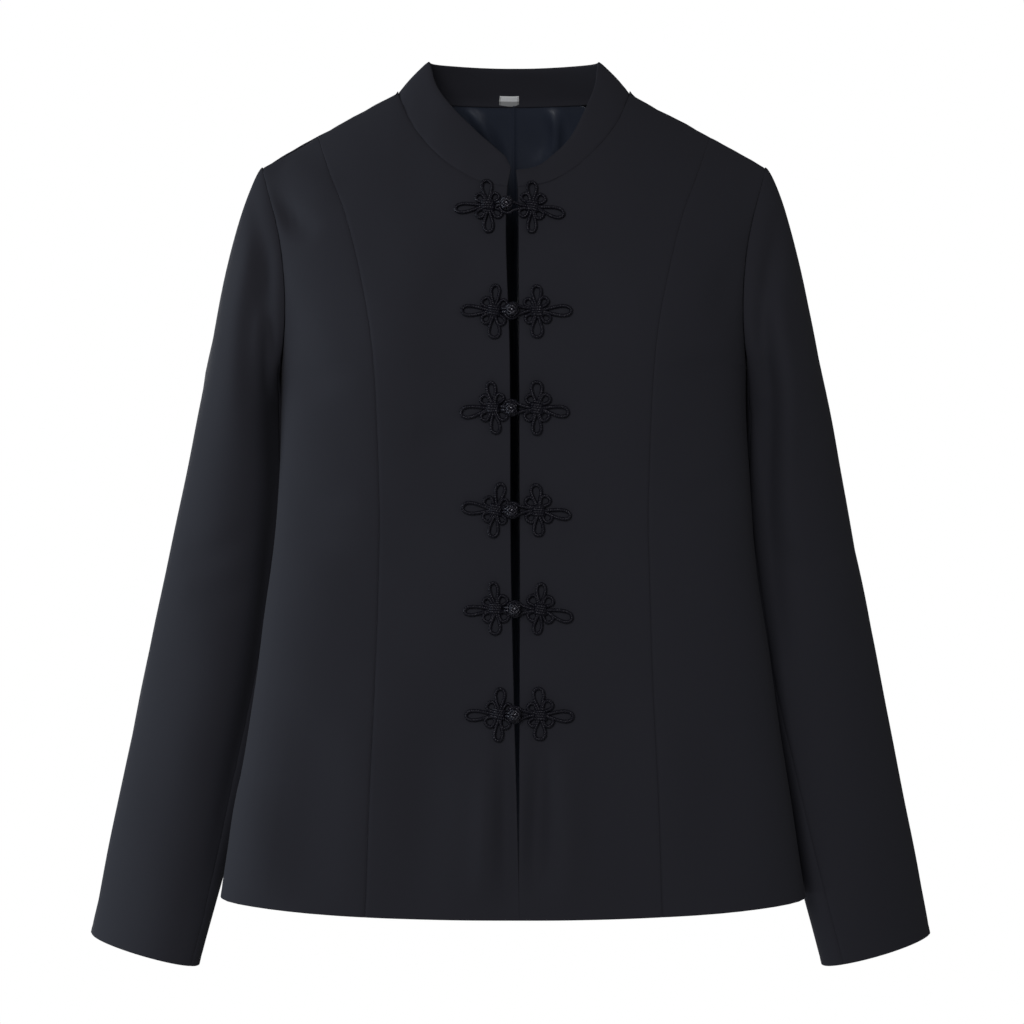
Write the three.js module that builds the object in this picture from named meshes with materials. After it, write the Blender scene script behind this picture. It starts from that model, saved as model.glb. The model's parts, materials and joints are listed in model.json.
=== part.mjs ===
// Women's tang jacket, filled out as if worn and open at the neck, hem and cuffs.
// Millimetres, +Z up, front towards -Y, wearer's left towards +X. The origin is the middle of the
// line on which the wearer's shoulders carry the jacket.
import * as THREE from 'three';

// ---------- Driving dimensions ----------
const CLOTH = 1.6; // wall of the suiting
const COLLAR_PLY = 1.2; // each ply of the stand collar
const LINING = 1.0; // satin of the lining and the label
const GAP = 0.3; // between pieces at a seam
const COLLAR_GAP = 0.6; // between the collar and the neck edge that it stands on
const LINING_EASE = 0.8; // between the suiting and its lining, which hangs free

const NECK_HALF = 89; // half width of the neck seam at the shoulder
const SHOULDER_SLOPE = 0.5525; // fall of the shoulder line for each mm outwards
const SHOULDER_PEAK = 56.7; // height at which the two shoulder lines would meet
const SHOULDER_ROUND = 40; // how softly they would meet there
const ARM_POINT_BACK = 10; // the arm point lies this far behind the neck point
const ARM_POINT_Z = -52.4; // its height, on the shoulder line
const SHOULDER_REACH = 104; // from the neck point out to the arm point, level
const CHEST = { fullFrom: -200, power: 1.7, root: 0.85 }; // the chest reaches full depth here
const BLADES = { fullFrom: -150, power: 2.2, root: 0.5 }; // the shoulder blades, rounder above
const BUST = { x: 84, z: -186, wide: 46, tall: 62, reach: 5 };

const SIDE_HEM = -611; // the hem at the side seams, and at the centre front
const FRONT_HEM = -619;
const BACK_HEM = -613;
const UNDERARM = -207;
const ROWS_BELOW = 9; // rows of facets from the hem to the underarm, and on up the armhole
const ROWS_ABOVE = 8;

const SLEEVE_TILT = THREE.MathUtils.degToRad(11.6); // of the sleeves, outwards from the body
const SLEEVE_TOP = -240; // where the sleeve head has become a plain tube
const CUFF = -658;
const SLEEVE_PITCH = { top: 6, cuff: 22 }; // the sleeve's outside lies this much behind its middle
const SLEEVE_SWING = 2.5; // the right cuff hangs this much further out, the left one less
const SLEEVE_RADIUS = 45; // middling radius of the tube
const HEAD_ROWS = 5; // rows of facets, closer together towards the armhole by this power
const HEAD_CROWDING = 1.4;
const TUBE_ROWS = 8;
const TOP_COLUMNS = 11;
const UNDER_COLUMNS = 5;

// Level sections of the body. half is the half width, front and back the depths from the shoulder
// line, and square the exponent that rounds the corners: 2 gives an ellipse.
const BODY = [
  { z: -620, half: 225.0, front: 77, back: 72, square: 2.40 },
  { z: -520, half: 209.0, front: 74, back: 66, square: 2.40 },
  { z: -430, half: 195.0, front: 71, back: 59, square: 2.40 },
  { z: -340, half: 183.6, front: 70, back: 54, square: 2.40 },
  { z: -285, half: 179.6, front: 73, back: 57, square: 2.40 },
  { z: -235, half: 177.2, front: 79, back: 69, square: 2.45 },
  { z: -195, half: 177.6, front: 83, back: 79, square: 2.50 },
  { z: -150, half: 181.0, front: 85, back: 84, square: 2.60 },
  { z: -108, half: 189.0, front: 85, back: 85, square: 2.60 },
  { z: -57, half: 205.0, front: 84, back: 84, square: 2.60 },
  { z: 40, half: 232.0, front: 84, back: 82, square: 2.60 },
];

// The seam between centre front and side front: its distance from the centre at each height.
const PRINCESS = [
  { z: -620, x: 110.3 },
  { z: -538, x: 107.7 },
  { z: -450, x: 103.6 },
  { z: -361, x: 100.9 },
  { z: -316, x: 100.0 },
  { z: -228, x: 102.7 },
  { z: -184, x: 106.6 },
  { z: -139, x: 115.0 },
  { z: -93, x: 127.0 },
  { z: -63, x: 138.5 },
  { z: -29, x: 150.5 },
];

// The two front edges, which stand apart at the chest and meet at the hem.
const OPENING = [
  { z: -620, right: 3.2, left: 4.4 },
  { z: -590, right: 2.4, left: 4.2 },
  { z: -490, right: 0.2, left: 4.6 },
  { z: -350, right: -2.8, left: 4.8 },
  { z: -200, right: -3.6, left: 4.2 },
  { z: -110, right: -6.4, left: 3.8 },
  { z: -60, right: -4.6, left: 3.0 },
];

// The neck seam seen from the front, from the centre out to the shoulder.
const FRONT_NECK = [
  { x: 0, z: -75.0 },
  { x: 24, z: -71.0 },
  { x: 40, z: -63.0 },
  { x: 54, z: -52.0 },
  { x: 68, z: -37.0 },
  { x: 80, z: -19.0 },
  { x: 89, z: 2.8 },
];
const BACK_NECK = { z: 2.0, rise: 0.8 };
const LINING_DROP = 2.5; // the lining stops this far below the neck seam

// Distances from the centre at which the panels' columns of facets end, at the neck and shoulder.
const FRONT_NECK_COLUMNS = [18, 36, 52, 66, 79, 89];
const BACK_NECK_COLUMNS = [0, 26, 50, 72, 89];
const CENTRE_SHOULDER_COLUMNS = [110, 130, 150.5]; // up to the princess seam
const SIDE_SHOULDER_COLUMNS = [150.5, 158, 166, 173, 180, 187];
const BACK_SHOULDER_COLUMNS = [112, 134, 152, 168, 181];

// The armhole: degrees round it from the shoulder point, and how far round the body from the
// centre front its front and back edges lie there.
const ARMHOLE = [
  { round: 0, front: 67.0, back: 113.0 },
  { round: 60, front: 67.5, back: 114.5 },
  { round: 90, front: 69.3, back: 116.4 },
  { round: 120, front: 73.2, back: 115.2 },
  { round: 144, front: 78.5, back: 109.0 },
  { round: 162, front: 84.0, back: 100.0 },
  { round: 180, front: 90.0, back: 90.0 },
];
const SIDE_SEAM_TURN = 97; // below the armhole the side seam slants back to here

// Stations up the sleeve's centre line from the cuff, with the half width and half depth of its section.
const SLEEVE = [
  { z: -658, x: 285.4, y: 46, half: 46.0, depth: 34 },
  { z: -580, x: 267.4, y: 50, half: 48.5, depth: 36 },
  { z: -500, x: 249.7, y: 52, half: 50.0, depth: 38 },
  { z: -430, x: 235.3, y: 53, half: 50.0, depth: 40 },
  { z: -360, x: 223.2, y: 53, half: 47.5, depth: 43 },
  { z: -300, x: 214.3, y: 48, half: 43.5, depth: 47 },
  { z: -240, x: 209.4, y: 38, half: 36.0, depth: 54 },
];

// How the sleeve head leaves the armhole: its direction and how far that direction carries.
const SLEEVE_HEAD = [
  { round: 0, out: 0.72, back: 0.05, down: 0.70, reach: 18 },
  { round: 90, out: 0.74, back: -0.10, down: 0.66, reach: 30 },
  { round: 180, out: 0.48, back: 0.20, down: 0.86, reach: 16 },
  { round: 270, out: 0.62, back: 0.45, down: 0.64, reach: 34 },
  { round: 360, out: 0.72, back: 0.05, down: 0.70, reach: 18 },
];
const HEAD_LANDING = 80; // how far the tube's direction carries up into the head
const FRONT_SEAM_AT_ARMHOLE = 135; // degrees round the sleeve, where its two seams start and end
const BACK_SEAM_AT_ARMHOLE = 247.5;
const BACK_SEAM_AT_CUFF = 262;
const SLEEVES = [
  { name: 'right', side: -1, frontSeamAtCuff: 152 },
  { name: 'left', side: 1, frontSeamAtCuff: 132 },
];

// The stand collar along half the neck seam, from the centre back to its front end: how far its
// rim lies in from the seam, towards the back of the neck, and above. Its right front is deeper.
const COLLAR = [
  { along: 0.00, inRight: 0, inLeft: 0, back: -12, riseRight: 25.0, riseLeft: 25.0 },
  { along: 0.25, inRight: 14, inLeft: 14, back: -8, riseRight: 25.0, riseLeft: 25.0 },
  { along: 0.43, inRight: 23, inLeft: 23, back: 0, riseRight: 24.5, riseLeft: 24.5 },
  { along: 0.56, inRight: 21, inLeft: 18.5, back: 6, riseRight: 25.5, riseLeft: 25.0 },
  { along: 0.68, inRight: 19.5, inLeft: 13.5, back: 8, riseRight: 27.5, riseLeft: 24.0 },
  { along: 0.78, inRight: 21, inLeft: 8.5, back: 9, riseRight: 25.5, riseLeft: 19.5 },
  { along: 0.87, inRight: 18.5, inLeft: 5, back: 9, riseRight: 24.0, riseLeft: 17.0 },
  { along: 0.94, inRight: 12.5, inLeft: 2.5, back: 8, riseRight: 21.5, riseLeft: 13.5 },
  { along: 1.00, inRight: 3, inLeft: 1.5, back: 7, riseRight: 15.0, riseLeft: 13.0 },
];
const COLLAR_ROWS = 3;
const LABEL = { x: -3.9, halfWidth: 7.8, from: -0.05, to: 0.25 }; // from and to as shares of the collar

// The frogs, from the neck down: heights, the middles of the two flowers and of the knot, and the
// tilt of each flower in degrees.
const FROGS = [
  { z: -90.5, right: -19.2, left: 13.4, knot: -5.4, tiltRight: 3, tiltLeft: -4 },
  { z: -169.5, right: -14.8, left: 16.9, knot: -1.5, tiltRight: -5, tiltLeft: 6 },
  { z: -240.2, right: -15.5, left: 16.9, knot: -2.0, tiltRight: 4, tiltLeft: -3 },
  { z: -316.0, right: -13.4, left: 17.9, knot: -1.4, tiltRight: -3, tiltLeft: 4 },
  { z: -389.3, right: -13.4, left: 19.3, knot: 0.6, tiltRight: 2, tiltLeft: -4 },
  { z: -467.4, right: -11.1, left: 19.3, knot: 0.8, tiltRight: -4, tiltLeft: 3 },
];
// The loops of a flower: the direction each points in, away from the front edge, how far out its
// middle lies, and its half length and half width.
const LOOPS = [
  { towards: 0, middle: 13.6, long: 9.4, wide: 4.6 },
  { towards: 52, middle: 7.4, long: 3.9, wide: 3.6 },
  { towards: 90, middle: 11.2, long: 8.4, wide: 4.4 },
  { towards: 126, middle: 7.2, long: 3.5, wide: 3.3 },
  { towards: 234, middle: 7.2, long: 3.5, wide: 3.3 },
  { towards: 270, middle: 11.2, long: 8.4, wide: 4.4 },
  { towards: 308, middle: 7.4, long: 3.9, wide: 3.6 },
];
const EYE = { hole: 4.2, rim: 6.0 }; // the loop that holds the knot, round its middle
const EYE_DEGREES = [161.5, 164, 167, 173, 176, 184, 187, 193, 196, 198.5]; // more points round it
const CORD = 2.3; // the frogs' cord
const FROG_LIFT = 0.9; // the frogs lie this far off the panels' true curve
const FLOWER_CORE = 3.6; // half width of the turns that bind a flower's middle
const FLOWER_POINTS = 36; // round a flower's outline
// The opening of each loop: how far it is shifted outwards, what it loses besides the cord's
// thickness, and its least half width.
const HOLE = { shift: 0.8, loss: 0.4, least: 0.9, points: 5, eyePoints: 10 };
const KNOT = { radius: 5.2, lift: 7.6, shank: 9.0, shankRadius: 1.1, dip: 14 }; // dip in degrees
const KNOT_RINGS = 7;
const KNOT_START = 0.35; // of a ring, where the ball grows out of its shank
const KNOT_SIDES = 8;

// ---------- Materials ----------
const SUITING = { color: 0x17181d, roughness: 0.62, metalness: 0 };
const SATIN = { color: 0x141a24, roughness: 0.38, metalness: 0 };
const CORDING = { color: 0x15161a, roughness: 0.5, metalness: 0 };
const TAPE = { color: 0xb9bcc0, roughness: 0.55, metalness: 0 };

// ---------- Small helpers ----------
const { lerp, clamp, degToRad } = THREE.MathUtils;
const xyz = (x, y, z) => new THREE.Vector3(x, y, z);

/** Smooth value of one column of a table at a place, the rows being sorted by their key. */
function lookUp(table, key, column, at) {
  const last = table.length - 1;
  const place = clamp(at, table[0][key], table[last][key]);
  let row = 0;
  while (row < last - 1 && table[row + 1][key] < place) row += 1;
  const slope = (i) => {
    const [a, b] = [Math.max(i - 1, 0), Math.min(i + 1, last)];
    return (table[b][column] - table[a][column]) / (table[b][key] - table[a][key]);
  };
  const span = table[row + 1][key] - table[row][key];
  const t = (place - table[row][key]) / span;
  const [from, to] = [table[row][column], table[row + 1][column]];
  const [start, end] = [slope(row) * span, slope(row + 1) * span];
  return from + t * (start + t * (3 * (to - from) - 2 * start - end + t * (2 * (from - to) + start + end)));
}

/** Unit normal of a surface given as a function of two parameters, by central differences. */
function normalOf(surface, u, v, du, dv) {
  const along = surface(u + du, v).sub(surface(u - du, v));
  const across = surface(u, v + dv).sub(surface(u, v - dv));
  return along.cross(across).normalize();
}

/**
 * A closed cloth wall from its outer face. outer[i][j] are the face's points and inward[i][j] the
 * unit directions in which the wall gets its thickness. Rows run up and columns run so that
 * columns x rows points outwards.
 */
function wall(outer, inward, thickness) {
  const rows = outer.length;
  const columns = outer[0].length;
  const positions = [];
  for (const depth of [0, thickness]) {
    for (let i = 0; i < rows; i += 1) {
      for (let j = 0; j < columns; j += 1) {
        const p = outer[i][j].clone().addScaledVector(inward[i][j], depth);
        positions.push(p.x, p.y, p.z);
      }
    }
  }
  const out = (i, j) => i * columns + j;
  const inn = (i, j) => (rows + i) * columns + j;
  const faces = [];
  const quad = (a, b, c, d) => faces.push(a, b, c, a, c, d);
  for (let i = 0; i < rows - 1; i += 1) {
    for (let j = 0; j < columns - 1; j += 1) {
      quad(out(i, j), out(i, j + 1), out(i + 1, j + 1), out(i + 1, j));
      quad(inn(i, j), inn(i + 1, j), inn(i + 1, j + 1), inn(i, j + 1));
    }
    quad(out(i, 0), out(i + 1, 0), inn(i + 1, 0), inn(i, 0));
    quad(out(i, columns - 1), inn(i, columns - 1), inn(i + 1, columns - 1), out(i + 1, columns - 1));
  }
  for (let j = 0; j < columns - 1; j += 1) {
    quad(out(0, j), inn(0, j), inn(0, j + 1), out(0, j + 1));
    quad(out(rows - 1, j), out(rows - 1, j + 1), inn(rows - 1, j + 1), inn(rows - 1, j));
  }
  const geometry = new THREE.BufferGeometry();
  geometry.setAttribute('position', new THREE.Float32BufferAttribute(positions, 3));
  geometry.setIndex(faces);
  geometry.computeVertexNormals();
  return geometry;
}

// ---------- The body's outer face ----------
const ridge = (x) => SHOULDER_PEAK - SHOULDER_SLOPE * Math.hypot(x, SHOULDER_ROUND);

/** How far, from 0 to 1, the surface has come down from the shoulder line to its full depth. */
function rollOver(x, z, form) {
  const drop = clamp((ridge(x) - z) / (ridge(x) - form.fullFrom), 0, 1);
  return (1 - (1 - drop) ** form.power) ** form.root;
}

const bust = (x, z) => BUST.reach
  * Math.exp(-(((Math.abs(x) - BUST.x) / BUST.wide) ** 2) - ((z - BUST.z) / BUST.tall) ** 2);

/** A point of the body. turn is 0 at the centre front, 90 degrees at the wearer's left side. */
function bodyPoint(turn, z) {
  const half = lookUp(BODY, 'z', 'half', z);
  const corner = 2 / lookUp(BODY, 'z', 'square', z);
  const x = half * Math.sign(Math.sin(turn)) * Math.abs(Math.sin(turn)) ** corner;
  const reach = Math.abs(Math.cos(turn)) ** corner;
  const shoulderY = ARM_POINT_BACK * clamp((Math.abs(x) - NECK_HALF) / SHOULDER_REACH, 0, 1);
  if (Math.cos(turn) >= 0) {
    const g = rollOver(x, z, CHEST);
    const depth = (lookUp(BODY, 'z', 'front', z) + bust(x, z)) * reach;
    return xyz(x, lerp(shoulderY, -depth, g), z);
  }
  const g = rollOver(x, z, BLADES);
  return xyz(x, lerp(shoulderY, lookUp(BODY, 'z', 'back', z) * reach, g), z);
}

/** Outward normal of the body; on the shoulder line it lies in the plane of that line. */
function bodyNormal(turn, z) {
  return normalOf(bodyPoint, turn, z - 0.4, 0.004, 0.4);
}

/** The turn at which the body has a given x, on the front or, if asked, on the back. */
function turnAt(x, z, onBack = false) {
  const half = lookUp(BODY, 'z', 'half', z);
  const square = lookUp(BODY, 'z', 'square', z);
  const turn = Math.asin(Math.min(Math.abs(x) / half, 1) ** (square / 2)) * Math.sign(x || 1);
  return onBack ? Math.PI * Math.sign(x || 1) - turn : turn;
}

// ---------- Seam lines, as the turn at a height on the wearer's left ----------
const ARM_POINT = bodyPoint(degToRad(ARMHOLE[0].front), ARM_POINT_Z);
const ARMHOLE_MIDDLE = (ARM_POINT.z + UNDERARM) / 2;
const ARMHOLE_HALF = (ARM_POINT.z - UNDERARM) / 2;

const armholeHeight = (round) => ARMHOLE_MIDDLE + ARMHOLE_HALF * Math.cos(round);

/** The body's edge on the side: the armhole above the underarm, the side seam below it. */
function sideTurn(z, edge) {
  if (z > UNDERARM) {
    const round = Math.acos(clamp((z - ARMHOLE_MIDDLE) / ARMHOLE_HALF, -1, 1));
    return degToRad(lookUp(ARMHOLE, 'round', edge, THREE.MathUtils.radToDeg(round)));
  }
  const slant = THREE.MathUtils.smoothstep(UNDERARM - z, 0, 70);
  return degToRad(lerp(90, SIDE_SEAM_TURN, slant));
}

const princessTurn = (z) => turnAt(lookUp(PRINCESS, 'z', 'x', z), z);
const frontTop = (x) => (x < NECK_HALF ? lookUp(FRONT_NECK, 'x', 'z', x) : ridge(x));
const backTop = (x) => (x < NECK_HALF ? BACK_NECK.z + BACK_NECK.rise * (x / NECK_HALF) ** 2 : ridge(x));

/** Level heights from the hem to the underarm and on to the top of a column. */
function rowHeights(hem, top) {
  const below = Array.from({ length: ROWS_BELOW }, (_, i) => lerp(hem, UNDERARM, i / ROWS_BELOW));
  const above = Array.from({ length: ROWS_ABOVE + 1 }, (_, i) =>
    lerp(UNDERARM, top, (1 - Math.cos((Math.PI * i) / ROWS_ABOVE)) / 2));
  return [...below, ...above];
}

/** How far out to the side a place on the hem lies, from 0 to 1. */
const hemShare = (turn) => clamp(Math.sin(turn) / Math.sin(sideTurn(FRONT_HEM, 'front')), 0, 1);

/**
 * A body panel between two seam lines, given as turns at a height on the wearer's left. topX are
 * the distances from the centre at which its columns end, at the neck or the shoulder.
 */
function bodyPanel({ side, topX, from, to, topAt, hemAt, onBack, thickness, sink = 0, skipRows = 0 }) {
  const columns = topX.map((x) => {
    const top = topAt(x);
    const share = clamp((turnAt(x, top, onBack) - from(top)) / (to(top) - from(top)), 0, 1);
    const hem = hemAt(hemShare(lerp(from(FRONT_HEM), to(FRONT_HEM), share)));
    return { x, share, heights: rowHeights(hem, top) };
  });
  const outer = [];
  const inward = [];
  const rowCount = ROWS_BELOW + ROWS_ABOVE + 1;
  for (let i = skipRows; i < rowCount; i += 1) {
    const points = [];
    const directions = [];
    for (const { x, share, heights } of columns) {
      const z = heights[i];
      const [a, b] = [from(z), to(z)];
      const pull = (Math.sign(b - a) * GAP) / lookUp(BODY, 'z', 'half', z);
      const turn = side * lerp(a + pull / 2, b - pull, share);
      const direction = bodyNormal(turn, z).negate();
      const point = bodyPoint(turn, z);
      const onShoulder = i === rowCount - 1 && x >= NECK_HALF;
      if (onShoulder) {
        direction.y = 0;
        direction.normalize();
        point.y += onBack ? GAP : -GAP;
      }
      points.push(point.addScaledVector(direction, sink));
      directions.push(direction);
    }
    outer.push(points);
    inward.push(directions);
  }
  if ((side > 0) === Boolean(onBack)) {
    outer.forEach((row) => row.reverse());
    inward.forEach((row) => row.reverse());
  }
  return wall(outer, inward, thickness);
}

// ---------- Sleeves ----------
/** A point of the sleeve's tube: round is 0 on the outside and 90 degrees at the front. */
function tubePoint(side, round, z) {
  const [half, depth] = ['half', 'depth'].map((column) => lookUp(SLEEVE, 'z', column, z));
  const down = (SLEEVE_TOP - z) / (SLEEVE_TOP - CUFF);
  const swing = -side * SLEEVE_SWING * down;
  const pitch = lerp(SLEEVE_PITCH.top, SLEEVE_PITCH.cuff, down);
  const out = half * Math.cos(round);
  return xyz(
    side * (lookUp(SLEEVE, 'z', 'x', z) + swing + out * Math.cos(SLEEVE_TILT)),
    lookUp(SLEEVE, 'z', 'y', z) - depth * Math.sin(round) + pitch * Math.cos(round),
    z + out * Math.sin(SLEEVE_TILT),
  );
}

/** A point of the armhole seam, and the outward normal of the body there. */
function armhole(side, round) {
  const z = armholeHeight(round);
  const turn = side * sideTurn(z, Math.sin(round) >= 0 ? 'front' : 'back');
  return { point: bodyPoint(turn, z), normal: bodyNormal(turn, z) };
}

/** The whole sleeve: down runs from 0 at the armhole to 1 at the tube's top and 2 at the cuff. */
function sleevePoint(side, round, down) {
  if (down > 1) return tubePoint(side, round, lerp(SLEEVE_TOP, CUFF, down - 1));
  const { point, normal } = armhole(side, round);
  const degrees = THREE.MathUtils.euclideanModulo(THREE.MathUtils.radToDeg(round), 360);
  const [out, back, fall, reach] = ['out', 'back', 'down', 'reach']
    .map((column) => lookUp(SLEEVE_HEAD, 'round', column, degrees));
  const leave = xyz(side * out, back, -fall).normalize();
  const start = point.addScaledVector(leave.clone().add(normal).normalize(), GAP);
  const end = tubePoint(side, round, SLEEVE_TOP);
  const landing = tubePoint(side, round, SLEEVE_TOP - 12).sub(end).normalize();
  return new THREE.CubicBezierCurve3(
    start,
    start.clone().addScaledVector(leave, reach),
    end.clone().addScaledVector(landing, -HEAD_LANDING),
    end,
  ).getPoint(down);
}

/** One piece of a sleeve, between two seams given in degrees round it at the armhole and cuff. */
function sleevePiece({ side, columns, fromTop, fromCuff, toTop, toCuff }) {
  const outer = [];
  const inward = [];
  for (let i = 0; i <= HEAD_ROWS + TUBE_ROWS; i += 1) {
    const down = i < HEAD_ROWS ? (i / HEAD_ROWS) ** HEAD_CROWDING : 1 + (i - HEAD_ROWS) / TUBE_ROWS;
    const twist = THREE.MathUtils.smoothstep(down, 0.2, 2);
    const [from, to] = [lerp(fromTop, fromCuff, twist), lerp(toTop, toCuff, twist)];
    const points = [];
    const directions = [];
    for (let j = 0; j <= columns; j += 1) {
      const seamGap = j === 0 ? GAP / 2 : j === columns ? -GAP / 2 : 0;
      const round = degToRad(lerp(from, to, j / columns)) + seamGap / SLEEVE_RADIUS;
      const direction = normalOf(
        (a, b) => sleevePoint(side, a, b), round, Math.max(down, 0.004), 0.01, 0.004,
      ).multiplyScalar(-side);
      if (i === 0) leanOffSeam(direction, side, round);
      points.push(sleevePoint(side, round, down));
      directions.push(direction);
    }
    outer.push(points);
    inward.push(directions);
  }
  if (side > 0) {
    outer.forEach((row) => row.reverse());
    inward.forEach((row) => row.reverse());
  }
  return wall(outer.reverse(), inward.reverse(), CLOTH);
}

/** Turns the wall's direction at the armhole so that it never leans back over the body's edge. */
function leanOffSeam(direction, side, round) {
  const here = armhole(side, round);
  const ahead = armhole(side, round + 0.02).point;
  const along = ahead.sub(armhole(side, round - 0.02).point).normalize();
  const across = along.cross(here.normal).multiplyScalar(side).normalize();
  const lean = direction.dot(across);
  if (lean < 0) direction.addScaledVector(across, -lean).normalize();
}

// ---------- Collar ----------
/** Half the neck seam, from the centre back to a front edge, through the panels' own corners. */
function neckSeam(frontEdge) {
  const back = BACK_NECK_COLUMNS.map((x) => bodyPoint(turnAt(x || 0.01, backTop(x), true), backTop(x)));
  const front = [...FRONT_NECK_COLUMNS.slice(0, -1).reverse(), frontEdge]
    .map((x) => bodyPoint(turnAt(x, frontTop(x)), frontTop(x)));
  return new THREE.CatmullRomCurve3([...back, ...front], false, 'centripetal');
}

/** How far along a curve each of the points that it was drawn through lies, from 0 to 1. */
function placesOn(curve) {
  const steps = 20;
  const lengths = curve.getLengths((curve.points.length - 1) * steps);
  return curve.points.map((_, i) => lengths[i * steps] / lengths[lengths.length - 1]);
}

/** How far the top of a front edge lies from the centre, on its own side. */
const edgeTop = (name, side) => side * lookUp(OPENING, 'z', name, FRONT_NECK[0].z);

const NECK = { right: neckSeam(edgeTop('right', -1)), left: neckSeam(edgeTop('left', 1)) };

/** A point of the collar: along runs from -1 at its right end to 1 at its left, up from 0 to 1. */
function collarPoint(along, up) {
  const side = along < 0 ? -1 : 1;
  const place = Math.min(Math.abs(along), 1);
  const seam = (side < 0 ? NECK.right : NECK.left).getPointAt(place);
  const columns = side < 0 ? ['inRight', 'back', 'riseRight'] : ['inLeft', 'back', 'riseLeft'];
  const [inward, back, rise] = columns
    .map((column) => lookUp(COLLAR, 'along', column, place));
  return xyz(
    side * (seam.x - inward * up),
    seam.y + back * up,
    seam.z + COLLAR_GAP + rise * up,
  );
}

/** A ply of the collar, or the label on it: part of its face, set in by a depth. */
function collarPly({ places, low, high, rows, sink, thickness }) {
  const outer = [];
  const inward = [];
  for (let i = 0; i <= rows; i += 1) {
    const up = lerp(low, high, i / rows);
    const directions = places.map((along) =>
      normalOf(collarPoint, along, clamp(up, 0.02, 0.98), 0.004, 0.02));
    const points = places.map((along, j) =>
      collarPoint(along, up).addScaledVector(directions[j], sink));
    outer.push(points.reverse());
    inward.push(directions.reverse());
  }
  return wall(outer, inward, thickness);
}

// ---------- Frogs ----------
/** A point over the front panels: x and z on the body, lifted off it. */
function onFront(x, z, lift) {
  const turn = turnAt(x, z);
  return bodyPoint(turn, z).addScaledVector(bodyNormal(turn, z), lift);
}

const ellipse = (x, y, long, wide, turn, points) => new THREE.EllipseCurve(
  x, y, long, wide, 0, Math.PI * 2, false, turn,
).getPoints(points).slice(0, -1);

/** How far an ellipse reaches from the flower's middle in a direction, or 0 where it doesn't. */
function reachOf({ towards, middle, long, wide }, angle) {
  const off = angle - degToRad(towards);
  const [c, s] = [Math.cos(off), Math.sin(off)];
  const a = (c / long) ** 2 + (s / wide) ** 2;
  const b = (-2 * middle * c) / long ** 2;
  const root = b * b - 4 * a * ((middle / long) ** 2 - 1);
  return root < 0 ? 0 : (-b + Math.sqrt(root)) / (2 * a);
}

/** The outline of a flower with its loops open, and the eye where it has one. */
function flowerShape(eyeAt) {
  const eye = { towards: 180, middle: Math.abs(eyeAt ?? 0), long: EYE.rim, wide: EYE.rim };
  const parts = eyeAt === undefined ? LOOPS : [...LOOPS, eye];
  const degrees = Array.from({ length: FLOWER_POINTS }, (_, i) => (i * 360) / FLOWER_POINTS);
  if (eyeAt !== undefined) degrees.push(...EYE_DEGREES);
  const outline = degrees.sort((a, b) => a - b).map((degree) => {
    const angle = degToRad(degree);
    const reach = Math.max(FLOWER_CORE, ...parts.map((loop) => reachOf(loop, angle)));
    return new THREE.Vector2(Math.cos(angle) * reach, Math.sin(angle) * reach);
  });
  const shape = new THREE.Shape(outline);
  for (const { towards, middle, long, wide } of LOOPS) {
    const angle = degToRad(towards);
    const [x, y] = [Math.cos(angle) * (middle + HOLE.shift), Math.sin(angle) * (middle + HOLE.shift)];
    const inside = [long - CORD - HOLE.loss, Math.max(wide - CORD, HOLE.least)];
    const hole = ellipse(x, y, ...inside, angle, HOLE.points);
    shape.holes.push(new THREE.Path(hole));
  }
  if (eyeAt !== undefined) {
    shape.holes.push(new THREE.Path(ellipse(-Math.abs(eyeAt), 0, EYE.hole, EYE.hole, 0, HOLE.eyePoints)));
  }
  return shape;
}

/** A flower laid on the front at (x, z); mirrored, its long loop points to the wearer's right. */
function flower({ x, z, tilt, mirrored, eyeAt }) {
  const geometry = new THREE.ExtrudeGeometry(flowerShape(eyeAt), { depth: CORD, bevelEnabled: false });
  geometry.rotateZ(degToRad(tilt));
  if (mirrored) geometry.rotateZ(Math.PI);
  geometry.deleteAttribute('uv');
  const place = geometry.getAttribute('position');
  for (let i = 0; i < place.count; i += 1) {
    const p = onFront(x + place.getX(i), z + place.getY(i), FROG_LIFT + place.getZ(i));
    place.setXYZ(i, p.x, p.y, p.z);
  }
  geometry.computeVertexNormals();
  return geometry;
}

/** The ball knot and its shank, turned about the line from the ball to the right-hand flower. */
function knotGeometry() {
  const profile = [[0, -KNOT.shank], [KNOT.shankRadius, -KNOT.shank]];
  for (let i = 1; i <= KNOT_RINGS; i += 1) {
    const angle = -Math.PI / 2 + (Math.PI * (i - KNOT_START)) / (KNOT_RINGS - KNOT_START);
    profile.push([Math.max(Math.cos(angle), 0) * KNOT.radius, Math.sin(angle) * KNOT.radius]);
  }
  profile[profile.length - 1][0] = 0;
  const necked = profile.filter(([r], i) => i < 2 || i === profile.length - 1 || r > KNOT.shankRadius);
  const points = necked.map(([r, h]) => new THREE.Vector2(r, h));
  return new THREE.LatheGeometry(points, KNOT_SIDES);
}

// ---------- The jacket ----------
const jacket = new THREE.Group();
jacket.name = 'tang_jacket';

function add(name, geometry, finish) {
  const mesh = new THREE.Mesh(geometry, new THREE.MeshStandardMaterial(finish));
  mesh.name = name;
  jacket.add(mesh);
  return mesh;
}

const hemAt = (share) => lerp(FRONT_HEM, SIDE_HEM, share ** 2);
const backHemAt = (share) => lerp(BACK_HEM, SIDE_HEM, share ** 2);

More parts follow.
